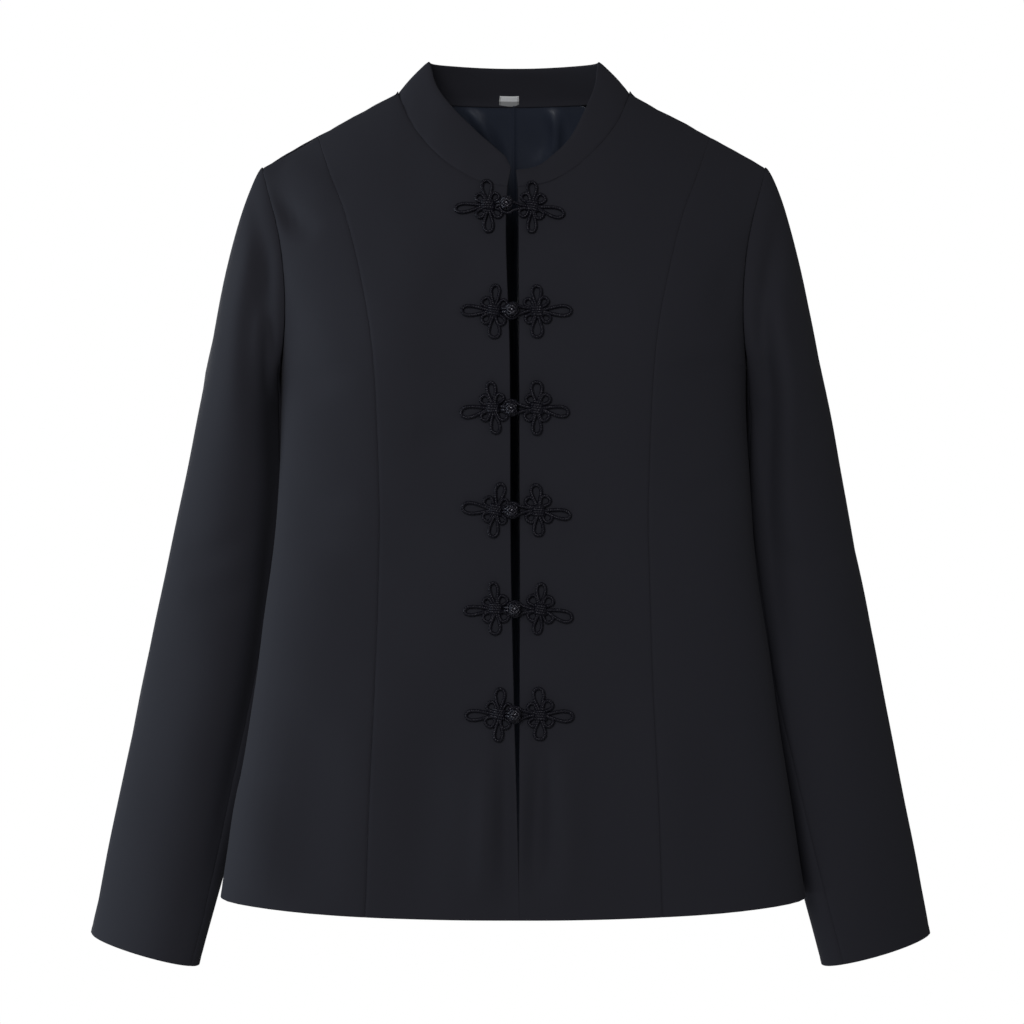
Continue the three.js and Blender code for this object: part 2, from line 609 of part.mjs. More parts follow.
function addFronts(name, side) {
  const edge = (z) => turnAt(side * lookUp(OPENING, 'z', name, z), z);
  add(`${name}_centre_front`, bodyPanel({
    side,
    topX: [edgeTop(name, side), ...FRONT_NECK_COLUMNS, ...CENTRE_SHOULDER_COLUMNS],
    from: edge,
    to: princessTurn,
    topAt: frontTop,
    hemAt,
    thickness: CLOTH,
  }), SUITING);
  add(`${name}_side_front`, bodyPanel({
    side,
    topX: [...SIDE_SHOULDER_COLUMNS, ARM_POINT.x],
    from: princessTurn,
    to: (z) => sideTurn(z, 'front'),
    topAt: ridge,
    hemAt,
    thickness: CLOTH,
  }), SUITING);
}

const BACK_COLUMNS = [...BACK_NECK_COLUMNS, ...BACK_SHOULDER_COLUMNS, ARM_POINT.x];

function addBack(name, side) {
  add(`${name}_back`, bodyPanel({
    side,
    topX: BACK_COLUMNS,
    from: () => Math.PI,
    to: (z) => sideTurn(z, 'back'),
    topAt: backTop,
    hemAt: backHemAt,
    onBack: true,
    thickness: CLOTH,
  }), SUITING);
}

/** The back's lining, in one piece, a little short of the hem, the shoulders and the armholes. */
function addLining() {
  const halfColumns = BACK_COLUMNS.slice(0, -1).map((x) => {
    const seam = turnAt(x || 0.01, backTop(x), true);
    return { x, share: (seam - Math.PI) / (sideTurn(backTop(x), 'back') - Math.PI) };
  });
  const columns = [
    ...halfColumns.slice(1).reverse().map((column) => ({ ...column, side: -1 })),
    ...halfColumns.map((column) => ({ ...column, side: 1 })),
  ];
  const outer = [];
  const inward = [];
  const lastRow = ROWS_BELOW + ROWS_ABOVE - 1;
  for (let i = 1; i <= lastRow; i += 1) {
    const points = [];
    const directions = [];
    for (const { x, share, side } of columns) {
      const reachesNeck = i === lastRow && x < NECK_HALF / 2;
      const hem = backHemAt(hemShare(lerp(Math.PI, sideTurn(BACK_HEM, 'back'), share)));
      const z = reachesNeck ? backTop(x) - LINING_DROP : rowHeights(hem, backTop(x))[i];
      const turn = side * lerp(Math.PI, sideTurn(z, 'back'), share);
      const direction = bodyNormal(turn, z).negate();
      points.push(bodyPoint(turn, z).addScaledVector(direction, CLOTH + LINING_EASE));
      directions.push(direction);
    }
    outer.push(points.reverse());
    inward.push(directions.reverse());
  }
  add('back_lining', wall(outer, inward, LINING), SATIN);
}

function addSleeve({ name, side, frontSeamAtCuff }) {
  add(`${name}_top_sleeve`, sleevePiece({
    side,
    columns: TOP_COLUMNS,
    fromTop: BACK_SEAM_AT_ARMHOLE - 360,
    fromCuff: BACK_SEAM_AT_CUFF - 360,
    toTop: FRONT_SEAM_AT_ARMHOLE,
    toCuff: frontSeamAtCuff,
  }), SUITING);
  add(`${name}_under_sleeve`, sleevePiece({
    side,
    columns: UNDER_COLUMNS,
    fromTop: FRONT_SEAM_AT_ARMHOLE,
    fromCuff: frontSeamAtCuff,
    toTop: BACK_SEAM_AT_ARMHOLE,
    toCuff: BACK_SEAM_AT_CUFF,
  }), SUITING);
}

function addCollar() {
  const rightPlaces = placesOn(NECK.right).slice(1).map((place) => -place).reverse();
  const whole = { places: [...rightPlaces, ...placesOn(NECK.left)], low: 0, high: 1, rows: COLLAR_ROWS };
  add('collar', collarPly({ ...whole, sink: 0, thickness: COLLAR_PLY }), SUITING);
  add('collar_facing', collarPly({ ...whole, sink: COLLAR_PLY + GAP, thickness: COLLAR_PLY }), SUITING);
  const labelPlaces = [-1, -0.5, 0, 0.5, 1]
    .map((share) => (LABEL.x + share * LABEL.halfWidth) / NECK.left.getLength());
  add('neck_label', collarPly({
    places: labelPlaces,
    low: LABEL.from,
    high: LABEL.to,
    rows: 1,
    sink: 2 * (COLLAR_PLY + GAP),
    thickness: LINING,
  }), TAPE);
}

function addFrogs() {
  FROGS.forEach(({ z, right, left, knot, tiltRight, tiltLeft }, i) => {
    const number = i + 1;
    add(`frog_${number}_button_side`, flower({ x: right, z, tilt: tiltRight, mirrored: true }), CORDING);
    add(`frog_${number}_loop_side`, flower({ x: left, z, tilt: tiltLeft, eyeAt: left - knot }), CORDING);
    const ball = add(`frog_${number}_knot`, knotGeometry(), CORDING);
    ball.position.copy(onFront(knot, z, KNOT.lift));
    ball.rotation.z = -degToRad(90 + KNOT.dip);
  });
}

for (const [name, side] of [['right', -1], ['left', 1]]) {
  addFronts(name, side);
  addBack(name, side);
}
addLining();
SLEEVES.forEach(addSleeve);
addCollar();
addFrogs();

export default jacket;
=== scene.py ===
"""A women's tang jacket, filled out as if worn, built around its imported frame.

Sizes in the tables are in millimetres, in the row's frame: +Z up, front towards -Y and the wearer's
left towards +X. Meshes are in metres.
"""

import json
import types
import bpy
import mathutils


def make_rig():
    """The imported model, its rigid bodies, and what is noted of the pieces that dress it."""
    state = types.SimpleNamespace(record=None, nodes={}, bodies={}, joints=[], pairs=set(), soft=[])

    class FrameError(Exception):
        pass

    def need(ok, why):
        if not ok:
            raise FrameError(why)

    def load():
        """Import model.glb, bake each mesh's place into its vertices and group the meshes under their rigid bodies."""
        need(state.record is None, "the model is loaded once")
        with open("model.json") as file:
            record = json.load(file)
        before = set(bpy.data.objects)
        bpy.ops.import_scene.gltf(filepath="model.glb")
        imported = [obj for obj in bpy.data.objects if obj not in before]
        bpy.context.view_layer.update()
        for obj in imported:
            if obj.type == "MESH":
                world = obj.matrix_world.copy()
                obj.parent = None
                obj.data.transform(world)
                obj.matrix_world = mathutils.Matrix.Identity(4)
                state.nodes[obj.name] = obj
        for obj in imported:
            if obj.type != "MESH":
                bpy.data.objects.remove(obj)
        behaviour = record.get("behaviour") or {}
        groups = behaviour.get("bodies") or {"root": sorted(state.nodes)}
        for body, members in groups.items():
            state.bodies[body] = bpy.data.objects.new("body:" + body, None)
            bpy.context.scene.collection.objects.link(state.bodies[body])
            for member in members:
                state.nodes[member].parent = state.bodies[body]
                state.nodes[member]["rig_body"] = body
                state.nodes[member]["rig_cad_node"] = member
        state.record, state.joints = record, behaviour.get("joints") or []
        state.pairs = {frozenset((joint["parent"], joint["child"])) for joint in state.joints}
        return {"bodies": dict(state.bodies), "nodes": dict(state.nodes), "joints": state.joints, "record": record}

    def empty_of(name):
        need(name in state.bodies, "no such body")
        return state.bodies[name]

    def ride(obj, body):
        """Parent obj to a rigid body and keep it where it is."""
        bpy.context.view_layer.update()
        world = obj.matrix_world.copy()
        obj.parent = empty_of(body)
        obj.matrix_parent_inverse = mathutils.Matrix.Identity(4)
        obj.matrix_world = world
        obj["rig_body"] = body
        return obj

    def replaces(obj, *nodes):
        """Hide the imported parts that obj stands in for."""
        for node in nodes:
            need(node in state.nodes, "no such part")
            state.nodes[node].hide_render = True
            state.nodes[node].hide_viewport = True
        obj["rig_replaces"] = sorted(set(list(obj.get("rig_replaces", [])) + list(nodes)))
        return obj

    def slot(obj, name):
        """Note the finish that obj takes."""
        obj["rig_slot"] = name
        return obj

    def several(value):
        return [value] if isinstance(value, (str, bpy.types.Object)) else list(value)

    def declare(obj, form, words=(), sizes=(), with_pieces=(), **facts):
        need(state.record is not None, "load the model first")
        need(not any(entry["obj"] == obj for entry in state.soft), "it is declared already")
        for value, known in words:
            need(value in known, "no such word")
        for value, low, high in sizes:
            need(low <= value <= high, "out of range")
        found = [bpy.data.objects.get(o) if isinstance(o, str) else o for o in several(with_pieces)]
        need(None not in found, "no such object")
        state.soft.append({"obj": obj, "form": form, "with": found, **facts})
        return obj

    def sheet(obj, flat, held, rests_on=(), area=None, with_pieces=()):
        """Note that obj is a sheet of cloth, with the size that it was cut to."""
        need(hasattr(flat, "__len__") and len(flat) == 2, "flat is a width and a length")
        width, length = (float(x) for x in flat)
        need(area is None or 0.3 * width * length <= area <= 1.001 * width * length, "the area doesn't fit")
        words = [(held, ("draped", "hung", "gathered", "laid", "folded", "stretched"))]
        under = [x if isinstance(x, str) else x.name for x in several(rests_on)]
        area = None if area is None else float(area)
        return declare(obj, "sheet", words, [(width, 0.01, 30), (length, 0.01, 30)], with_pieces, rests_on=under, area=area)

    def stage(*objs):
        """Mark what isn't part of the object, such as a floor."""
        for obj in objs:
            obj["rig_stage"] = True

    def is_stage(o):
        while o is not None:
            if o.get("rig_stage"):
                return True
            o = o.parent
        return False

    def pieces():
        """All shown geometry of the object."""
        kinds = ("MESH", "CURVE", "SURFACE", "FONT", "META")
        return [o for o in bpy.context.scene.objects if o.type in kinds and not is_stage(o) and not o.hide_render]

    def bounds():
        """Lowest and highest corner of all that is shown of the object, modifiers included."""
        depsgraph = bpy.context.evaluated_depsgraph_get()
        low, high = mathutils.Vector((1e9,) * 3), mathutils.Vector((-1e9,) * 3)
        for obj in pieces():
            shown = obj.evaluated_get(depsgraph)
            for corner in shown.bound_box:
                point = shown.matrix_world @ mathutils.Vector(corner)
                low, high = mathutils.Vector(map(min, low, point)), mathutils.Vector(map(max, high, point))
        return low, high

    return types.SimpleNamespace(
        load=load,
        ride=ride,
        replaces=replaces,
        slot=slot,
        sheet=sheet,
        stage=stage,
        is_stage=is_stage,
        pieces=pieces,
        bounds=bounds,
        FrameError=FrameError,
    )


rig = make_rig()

bl_info = {
    "name": "Tang jacket",
    "version": (1, 0, 0),
    "blender": (4, 5, 0),
    "location": "View3D > Sidebar > Jacket",
    "description": "Builds a tang jacket with a stand collar and flower frogs around its frame",
    "category": "Add Mesh",
}

import json
import math

import bmesh
import bpy
import numpy as np
from mathutils import Vector

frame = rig.load()
CAD_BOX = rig.bounds()

MM = 0.001
SIZES = "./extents.json"


class Table:
    """Rows of sizes with named columns, in rising order of the first, read smoothly between rows."""

    def __init__(self, names, rows):
        self.columns = dict(zip(names, np.array(rows, float).T))
        self.keys = self.columns[names[0]]

    def __call__(self, name, at):
        keys, values = self.keys, self.columns[name]
        at = np.clip(at, keys[0], keys[-1])
        row = np.clip(np.searchsorted(keys, at) - 1, 0, len(keys) - 2)
        after = np.minimum(np.arange(len(keys)) + 1, len(keys) - 1)
        before = np.maximum(np.arange(len(keys)) - 1, 0)
        slope = (values[after] - values[before]) / (keys[after] - keys[before])
        span = keys[row + 1] - keys[row]
        t = (at - keys[row]) / span
        a, b = values[row], values[row + 1]
        start, end = slope[row] * span, slope[row + 1] * span
        return a + t * (start + t * (3 * (b - a) - 2 * start - end + t * (2 * (a - b) + start + end)))


# ---------- The jacket's shape, as its frame has it ----------
GAP = 0.03  # between pieces at a seam
NECK_HALF = 89.0
SHOULDER_SLOPE = 0.5525
SHOULDER_PEAK = 56.7
SHOULDER_ROUND = 40.0
ARM_POINT_BACK = 10.0
ARM_POINT_Z = -52.4
SHOULDER_REACH = 104.0
CHEST = {"full_from": -200.0, "power": 1.7, "root": 0.85}
BLADES = {"full_from": -150.0, "power": 2.2, "root": 0.5}
BUST = {"x": 84.0, "z": -186.0, "wide": 46.0, "tall": 62.0, "reach": 5.0}
SIDE_HEM = -611.0
FRONT_HEM = -619.0
BACK_HEM = -613.0
UNDERARM = -207.0
SIDE_SEAM_TURN = 97.0
SIDE_SEAM_SLANT = 70.0
SLEEVE_TILT = math.radians(11.6)
SLEEVE_TOP = -240.0
CUFF = -658.0
SLEEVE_SWING = 2.5
SLEEVE_PITCH = (6.0, 22.0)  # how far the sleeve's outside lies behind its middle, at top and cuff
SLEEVE_RADIUS = 45.0
HEAD_LANDING = 0.42  # the head's curve settles into the tube over this share of its height
BACK_NECK_Z = 2.0
BACK_NECK_RISE = 0.8

BODY = Table(("z", "half", "front", "back", "square"), [
    (-620, 225.0, 77, 72, 2.40),
    (-520, 209.0, 74, 66, 2.40),
    (-430, 195.0, 71, 59, 2.40),
    (-340, 183.6, 70, 54, 2.40),
    (-285, 179.6, 73, 57, 2.40),
    (-235, 177.2, 79, 69, 2.45),
    (-195, 177.6, 83, 79, 2.50),
    (-150, 181.0, 85, 84, 2.60),
    (-108, 189.0, 85, 85, 2.60),
    (-57, 205.0, 84, 84, 2.60),
    (40, 232.0, 84, 82, 2.60),
])
PRINCESS = Table(("z", "x"), [
    (-620, 110.3), (-538, 107.7), (-450, 103.6), (-361, 100.9), (-316, 100.0), (-228, 102.7),
    (-184, 106.6), (-139, 115.0), (-93, 127.0), (-63, 138.5), (-29, 150.5),
])
OPENING = Table(("z", "right", "left"), [
    (-620, 3.9, 4.1),
    (-590, 3.2, 3.9),
    (-490, 0.4, 4.5),
    (-350, -2.8, 4.8),
    (-200, -3.6, 4.2),
    (-110, -6.4, 3.8),
    (-60, -4.6, 3.0),
])
FRONT_NECK = Table(("x", "z"), [
    (0, -75.0), (24, -71.0), (40, -63.0), (54, -52.0), (68, -37.0), (80, -19.0), (89, 2.8),
])
ARMHOLE = Table(("round", "front", "back"), [
    (0, 67.0, 113.0),
    (60, 67.5, 114.5),
    (90, 69.3, 116.4),
    (120, 73.2, 115.2),
    (144, 78.5, 109.0),
    (162, 84.0, 100.0),
    (180, 90.0, 90.0),
])
SLEEVE = Table(("z", "x", "y", "half", "depth"), [
    (-658, 285.4, 46, 46.0, 34),
    (-580, 267.4, 50, 48.5, 36),
    (-500, 249.7, 52, 50.0, 38),
    (-430, 235.3, 53, 50.0, 40),
    (-360, 223.2, 53, 47.5, 43),
    (-300, 214.3, 48, 43.5, 47),
    (-240, 209.4, 38, 36.0, 54),
])
SLEEVE_HEAD = Table(("round", "out", "back", "down", "reach"), [
    (0, 0.72, 0.05, 0.70, 18),
    (90, 0.74, -0.10, 0.66, 30),
    (180, 0.22, 0.34, 0.90, 10),
    (270, 0.62, 0.45, 0.64, 34),
    (360, 0.72, 0.05, 0.70, 18),
])
COLLAR = Table(("along", "in_right", "in_left", "back", "rise_right", "rise_left"), [
    (0.00, 0, 0, -12, 25.0, 25.0),
    (0.25, 14, 14, -8, 25.0, 25.0),
    (0.43, 23, 23, 0, 24.5, 24.5),
    (0.56, 21, 18.5, 6, 25.5, 25.0),
    (0.68, 19.5, 13.5, 8, 27.5, 24.0),
    (0.78, 21, 8.5, 9, 25.5, 19.5),
    (0.87, 18.5, 5, 9, 24.0, 17.0),
    (0.94, 12.5, 2.5, 8, 21.5, 13.5),
    (1.00, 3, 1.5, 7, 15.0, 13.0),
])
FRONT_SEAM_AT_ARMHOLE = 156.0
FRONT_SEAM_AT_CUFF = {"right": 152.0, "left": 132.0}
BACK_SEAM_AT_ARMHOLE = 247.5
BACK_SEAM_AT_CUFF = 262.0
SIDES = {"right": -1, "left": 1}

# The frogs from the neck down: height, middles of the two flowers and the knot, tilts in degrees and
# how far each side loop turns from its flower's line, in degrees, up being positive.
FROGS = [
    {"z": -90.5, "right": -19.2, "left": 13.4, "knot": -5.4,
     "tilt_right": 3, "tilt_left": -4, "droop_right": -4, "droop_left": -12},
    {"z": -169.5, "right": -14.8, "left": 16.9, "knot": -1.5,
     "tilt_right": -5, "tilt_left": 4, "droop_right": -4, "droop_left": -4},
    {"z": -240.2, "right": -15.5, "left": 16.9, "knot": -2.0,
     "tilt_right": 4, "tilt_left": -3, "droop_right": -6, "droop_left": -6},
    {"z": -316.0, "right": -13.4, "left": 17.9, "knot": -1.4,
     "tilt_right": -8, "tilt_left": 3, "droop_right": -3, "droop_left": -13},
    {"z": -389.3, "right": -13.4, "left": 19.3, "knot": 0.6,
     "tilt_right": 2, "tilt_left": -3, "droop_right": -2, "droop_left": -14},
    {"z": -467.4, "right": -11.1, "left": 19.3, "knot": 0.8,
     "tilt_right": -6, "tilt_left": 2, "droop_right": -8, "droop_left": -6},
]
# The loops of a flower: direction in degrees away from the front edge, reach of the tip and width.
LOOPS = [
    {"towards": 90, "tip": 20.4, "wide": 3.5},
    {"towards": 134, "tip": 13.0, "wide": 3.1},
    {"towards": 46, "tip": 13.0, "wide": 3.1},
    {"towards": 0, "tip": 25.6, "wide": 3.5},
    {"towards": 316, "tip": 13.0, "wide": 3.1},
    {"towards": 226, "tip": 12.6, "wide": 3.0},
    {"towards": 270, "tip": 20.4, "wide": 3.5},
]
SIDE_LOOP = 3  # the row of the loop that points away from the front edge
FROG_LIFT = 0.9
BINDING = {"half_width": 3.9, "half_depth": 1.4, "lift": 1.9, "turns": 4, "pitch": 1.75}
KNOT_LIFT = 7.2
KNOT_LEADS = 4  # the knot's cord goes round this many times
KNOT_BIGHTS = 5  # and swings from side to side this many times
KNOT_REACH = 64.0  # up to this latitude, in degrees
KNOT_CORD = 0.86  # the knot's cord is drawn tighter than the loops', to this share of its radius
EYE_RADIUS = 5.4

# ---------- Folds: a line of points, its half width and its height, a trough being negative ----------
# On the body's front and back, points are (x, z).
FRONT_FOLDS = [
    ([(-190, -72), (-178, -88), (-164, -100), (-148, -108)], 9, -5.2),
    ([(-176, -52), (-162, -60), (-148, -70), (-136, -84)], 14, 2.2),
    ([(-172, -150), (-158, -190), (-152, -240)], 14, -2.4),
    ([(170, -120), (158, -150), (150, -190)], 12, -2.4),
    ([(172, -205), (150, -212), (126, -206)], 10, -2.0),
    ([(-174, -214), (-150, -222), (-124, -214)], 10, -1.8),
    ([(-7, -476), (-6, -530), (-6, -580), (-5, -612)], 7, -4.2),
    ([(-20, -500), (-21, -550), (-24, -606)], 9, 2.8),
    ([(20, -486), (17, -540), (15, -600)], 8, -5.6),
    ([(38, -490), (40, -550), (40, -612)], 13, 3.6),
    ([(-60, -470), (-66, -540), (-70, -615)], 20, -2.6),
    ([(74, -440), (82, -530), (86, -615)], 24, -2.6),
    ([(-176, -300), (-150, -312), (-118, -306)], 12, -2.2),
    ([(178, -290), (150, -300), (122, -312)], 12, -2.0),
    ([(-178, -340), (-154, -336), (-128, -342)], 11, -1.8),
    ([(-196, -520), (-190, -570), (-186, -612)], 18, 2.6),
    ([(-150, -460), (-152, -540), (-156, -612)], 22, -3.0),
    ([(150, -470), (156, -540), (160, -612)], 22, -2.8),
    ([(-30, -120), (-46, -150), (-70, -172)], 14, -1.8),
    ([(36, -128), (58, -156), (88, -170)], 15, -1.8),
    ([(-32, -250), (-50, -262), (-74, -258)], 12, -1.6),
    ([(34, -330), (56, -344), (80, -340)], 13, -1.6),
]
BACK_FOLDS = [
    ([(-168, -90), (-150, -120), (-140, -160), (-138, -210)], 13, -3.0),
    ([(166, -84), (150, -118), (142, -160), (136, -205)], 12, -2.6),
    ([(-150, -60), (-110, -52), (-70, -60)], 14, 1.4),
    ([(-120, -300), (-60, -316), (-14, -306)], 13, -1.8),
    ([(118, -292), (64, -310), (16, -300)], 12, -1.6),
    ([(-96, -330), (-40, -342), (20, -334), (80, -338)], 14, -1.4),
    ([(-40, -440), (-52, -530), (-58, -610)], 22, -2.4),
    ([(48, -430), (60, -520), (64, -610)], 24, -2.6),
    ([(-130, -430), (-146, -520), (-154, -608)], 24, -2.0),
    ([(136, -440), (150, -530), (158, -608)], 22, -2.2),
]
# On the sleeves, points are (degrees round from the outside towards the front, z).
RIGHT_SLEEVE_FOLDS = [
    ([(138, -206), (142, -270), (145, -350), (147, -470), (146, -630)], 17, -8.5),
    ([(26, -68), (58, -98), (88, -138), (116, -182), (132, -232)], 7, -6.5),
    ([(70, -72), (78, -120), (90, -180), (108, -236)], 10, -4.2),
    ([(100, -70), (106, -130), (110, -180)], 8, 2.0),
    ([(58, -60), (62, -120), (70, -190)], 12, 2.2),
    ([(118, -330), (80, -352), (44, -350)], 11, -1.8),
    ([(126, -372), (88, -384), (58, -378)], 11, -1.4),
    ([(60, -420), (66, -500), (64, -590)], 20, -1.2),
    ([(200, -300), (240, -330), (276, -326)], 12, -2.0),
    ([(206, -400), (250, -420), (290, -412)], 13, -1.8),
    ([(300, -120), (290, -180), (284, -250)], 12, -2.2),
    ([(250, -110), (244, -170), (232, -230)], 10, -2.6),
]
LEFT_SLEEVE_FOLDS = [
    ([(116, -200), (118, -260), (122, -340), (130, -440)], 14, -8.5),
    ([(32, -84), (64, -118), (92, -150), (112, -185), (122, -230)], 9, -6.0),
    ([(84, -140), (90, -215), (96, -290), (98, -350)], 11, 3.0),
    ([(70, -60), (76, -110), (82, -160)], 11, -1.0),
    ([(122, -350), (84, -366), (50, -360)], 12, -1.6),
    ([(52, -430), (58, -520), (54, -600)], 20, -1.1),
    ([(204, -310), (246, -336), (280, -330)], 12, -1.9),
    ([(210, -420), (250, -436), (286, -430)], 13, -1.6),
    ([(302, -130), (290, -190), (286, -260)], 12, -2.0),
    ([(248, -116), (242, -176), (230, -236)], 10, -2.4),
]
# On the back's lining, points are (x, z) and heights are towards the wearer.
LINING_FOLDS = [
    ([(-40, 6), (-34, -3), (-26, -12), (-17, -24), (-11, -40)], 3.4, 8.0),
    ([(-58, 0), (-52, -14), (-40, -34), (-28, -54)], 5.0, 4.0),
    ([(-72, -2), (-64, -22), (-52, -52)], 8, 2.5),
    ([(25, 6), (32, -5), (35, -22), (30, -36), (18, -46)], 3.2, 7.5),
    ([(56, -4), (58, -30), (50, -66)], 9, 3.0),
    ([(-12, -30), (-16, -70), (-14, -110)], 9, 2.0),
    ([(-8, -120), (-14, -260), (-10, -420), (-14, -540)], 12, 2.4),
    ([(-90, -160), (-96, -300), (-92, -480)], 16, 2.0),
    ([(88, -150), (94, -290), (96, -500)], 16, 2.2),
]
# Slow unevenness: wave lengths across and up, phase, height.
SLOW_WAVES = [(173, 217, 0.4, 0.45), (97, -261, 1.9, 0.35), (-131, 149, 3.7, 0.30), (61, 89, 5.1, 0.14)]

SEAM_ROLL = {"depth": 0.42, "width": 1.1, "soft_depth": 0.22, "soft_width": 6.0}
ARMHOLE_STRENGTH = 0.55  # of the seam's dip
PRINCESS_STRENGTH = 0.9
SIDE_FADE = (0.0, 14.0)  # the body's folds die away over this distance from its side edges
PRINCESS_FADE = (10.0, 46.0)  # the princess seams vanish over this distance from the shoulder
PUCKER = {"height": 0.10, "every": 17.0, "width": 8.0}
EDGE_LINES = (0.6, 1.3, 2.3, 3.8, 6.0)  # extra lines of the mesh beside an edge
HEM_FOLD = {"line": 7.0, "width": 1.3, "depth": 0.20}


def smooth_step(at, low, high):
    t = np.clip((at - low) / (high - low), 0, 1)
    return t * t * (3 - 2 * t)


def unit(v):
    return v / np.maximum(np.linalg.norm(v, axis=-1, keepdims=True), 1e-12)


def mix(a, b, t):
    return a + (b - a) * t


# ---------- The body ----------
def ridge(x):
    """Height of the shoulder line."""
    return SHOULDER_PEAK - SHOULDER_SLOPE * np.hypot(x, SHOULDER_ROUND)


def roll_over(x, z, form):
    """How far, from 0 to 1, the surface has come down from the shoulder line to its full depth."""
    drop = np.clip((ridge(x) - z) / (ridge(x) - form["full_from"]), 0, 1)
    return (1 - (1 - drop) ** form["power"]) ** form["root"]


def body_point(turn, z):
    """Points of the body. turn is 0 at the centre front and a quarter circle at the wearer's left."""
    turn, z = np.broadcast_arrays(turn, z)
    corner = 2 / BODY("square", z)
    sine, cosine = np.sin(turn), np.cos(turn)
    x = BODY("half", z) * np.sign(sine) * np.abs(sine) ** corner
    reach = np.abs(cosine) ** corner
    over = ((np.abs(x) - BUST["x"]) / BUST["wide"]) ** 2 + ((z - BUST["z"]) / BUST["tall"]) ** 2
    front = -(BODY("front", z) + BUST["reach"] * np.exp(-over)) * reach
    shoulder_y = ARM_POINT_BACK * np.clip((np.abs(x) - NECK_HALF) / SHOULDER_REACH, 0, 1)
    faces_front = cosine >= 0
    full = np.where(faces_front, front, BODY("back", z) * reach)
    rolled = np.where(faces_front, roll_over(x, z, CHEST), roll_over(x, z, BLADES))
    return np.stack([x, mix(shoulder_y, full, rolled), z], -1)


def body_normal(turn, z):
    below = z - 0.4
    along = body_point(turn + 0.004, below) - body_point(turn - 0.004, below)
    across = body_point(turn, below + 0.4) - body_point(turn, below - 0.4)
    return unit(np.cross(along, across))


def turn_at(x, z, on_back=False):
    """The turn at which the body has a given x."""
    sign = np.where(np.asarray(x) < 0, -1, 1)
    turn = np.arcsin(np.minimum(np.abs(x) / BODY("half", z), 1) ** (BODY("square", z) / 2)) * sign
    return np.pi * sign - turn if on_back else turn


ARM_POINT_X = float(body_point(math.radians(ARMHOLE("front", 0.0)), ARM_POINT_Z)[0])
ARMHOLE_MIDDLE = (ARM_POINT_Z + UNDERARM) / 2
ARMHOLE_HALF = (ARM_POINT_Z - UNDERARM) / 2


def side_turn(z, edge):
    """The body's edge at the side: the armhole above the underarm, the side seam below it."""
    round_ = np.degrees(np.arccos(np.clip((z - ARMHOLE_MIDDLE) / ARMHOLE_HALF, -1, 1)))
    slant = mix(90.0, SIDE_SEAM_TURN, smooth_step(UNDERARM - z, 0, SIDE_SEAM_SLANT))
    return np.radians(np.where(z > UNDERARM, ARMHOLE(edge, round_), slant))


def princess_turn(z):
    return turn_at(PRINCESS("x", z), z)


def front_top(x):
    return np.where(x < NECK_HALF, FRONT_NECK("z", x), ridge(x))


def back_top(x):
    return np.where(x < NECK_HALF, BACK_NECK_Z + BACK_NECK_RISE * (x / NECK_HALF) ** 2, ridge(x))


def hem_share(turn):
    """How far out to the side a place on the hem lies, from 0 to 1."""
    return np.clip(np.sin(turn) / np.sin(side_turn(FRONT_HEM, "front")), 0, 1)


def hem_at(share, middle):
    return mix(middle, SIDE_HEM, share**2)


def edge_top(name):
    return SIDES[name] * float(OPENING(name, -75.0))


# ---------- Folds and meshes ----------
def soften(line, rounds=2):
    """A line of points with its corners cut."""
    line = np.array(line, float)
    for _ in range(rounds):
        quarter = mix(line[:-1], line[1:], 0.25)
        three = mix(line[:-1], line[1:], 0.75)
        line = np.vstack([line[:1], np.stack([quarter, three], 1).reshape(-1, 2), line[-1:]])
    return line


def creases(a, b, folds, scale=(1.0, 1.0)):
    """Height of the folds at places (a, b). Each dies away towards the ends of its line."""
    height = np.zeros(np.shape(a))
    for points, width, rise in folds:
        line = soften(points) * scale
        lengths = np.hypot(*np.diff(line, axis=0).T)
        best, along, before = np.full(height.shape, np.inf), np.zeros(height.shape), 0.0
        for (p, q), (r, s), length in zip(line[:-1], line[1:], lengths):
            t = np.clip(((a - p) * (r - p) + (b - q) * (s - q)) / length**2, 0, 1)
            off = np.hypot(a - p - t * (r - p), b - q - t * (s - q))
            along = np.where(off < best, before + t * length, along)
            best = np.minimum(best, off)
            before += length
        taper = np.sin(np.pi * np.clip(along / before, 0, 1)) ** 0.7
        height += rise * taper * np.exp(-((best / width) ** 2))
    return height


def slow_waves(a, b):
    return sum(h * np.sin(2 * np.pi * (a / u + b / v) + phase) for u, v, phase, h in SLOW_WAVES)


def front_height(x, z):
    return (creases(x, z, FRONT_FOLDS) + slow_waves(x, z)) * settings().fold_strength


def back_height(x, z):
    return (creases(x, z, BACK_FOLDS) + slow_waves(x + 40, z)) * settings().fold_strength


def spread(length, step, fine_start=True, fine_end=True):
    """Places from 0 to 1 along a length, closer together beside its fine ends."""
    low = EDGE_LINES[-1] if fine_start else 0.0
    high = length - (EDGE_LINES[-1] if fine_end else 0.0)
    inner = np.linspace(low, high, max(round((high - low) / step), 2) + 1)
    places = [*((0.0, *EDGE_LINES[:-1]) if fine_start else ()), *inner]
    if fine_end:
        places += [length - line for line in EDGE_LINES[-2::-1]] + [length]
    return np.array(places) / length


def arcs(points, axis):
    """Distances along a grid's lines from their start, and back from their end."""
    steps = np.linalg.norm(np.diff(points, axis=axis), axis=-1)
    start = np.cumsum(steps, axis=axis)
    zero = np.zeros_like(np.take(start, [0], axis=axis))
    start = np.concatenate([zero, start], axis=axis)
    return start, np.take(start, [-1], axis=axis) - start


def grid_normals(points, outward):
    """Unit normals of a grid, on the side that the given directions point to."""
    normals = unit(np.cross(np.gradient(points, axis=1), np.gradient(points, axis=0)))
    return normals * np.where((normals * outward).sum(-1, keepdims=True) < 0, -1, 1)


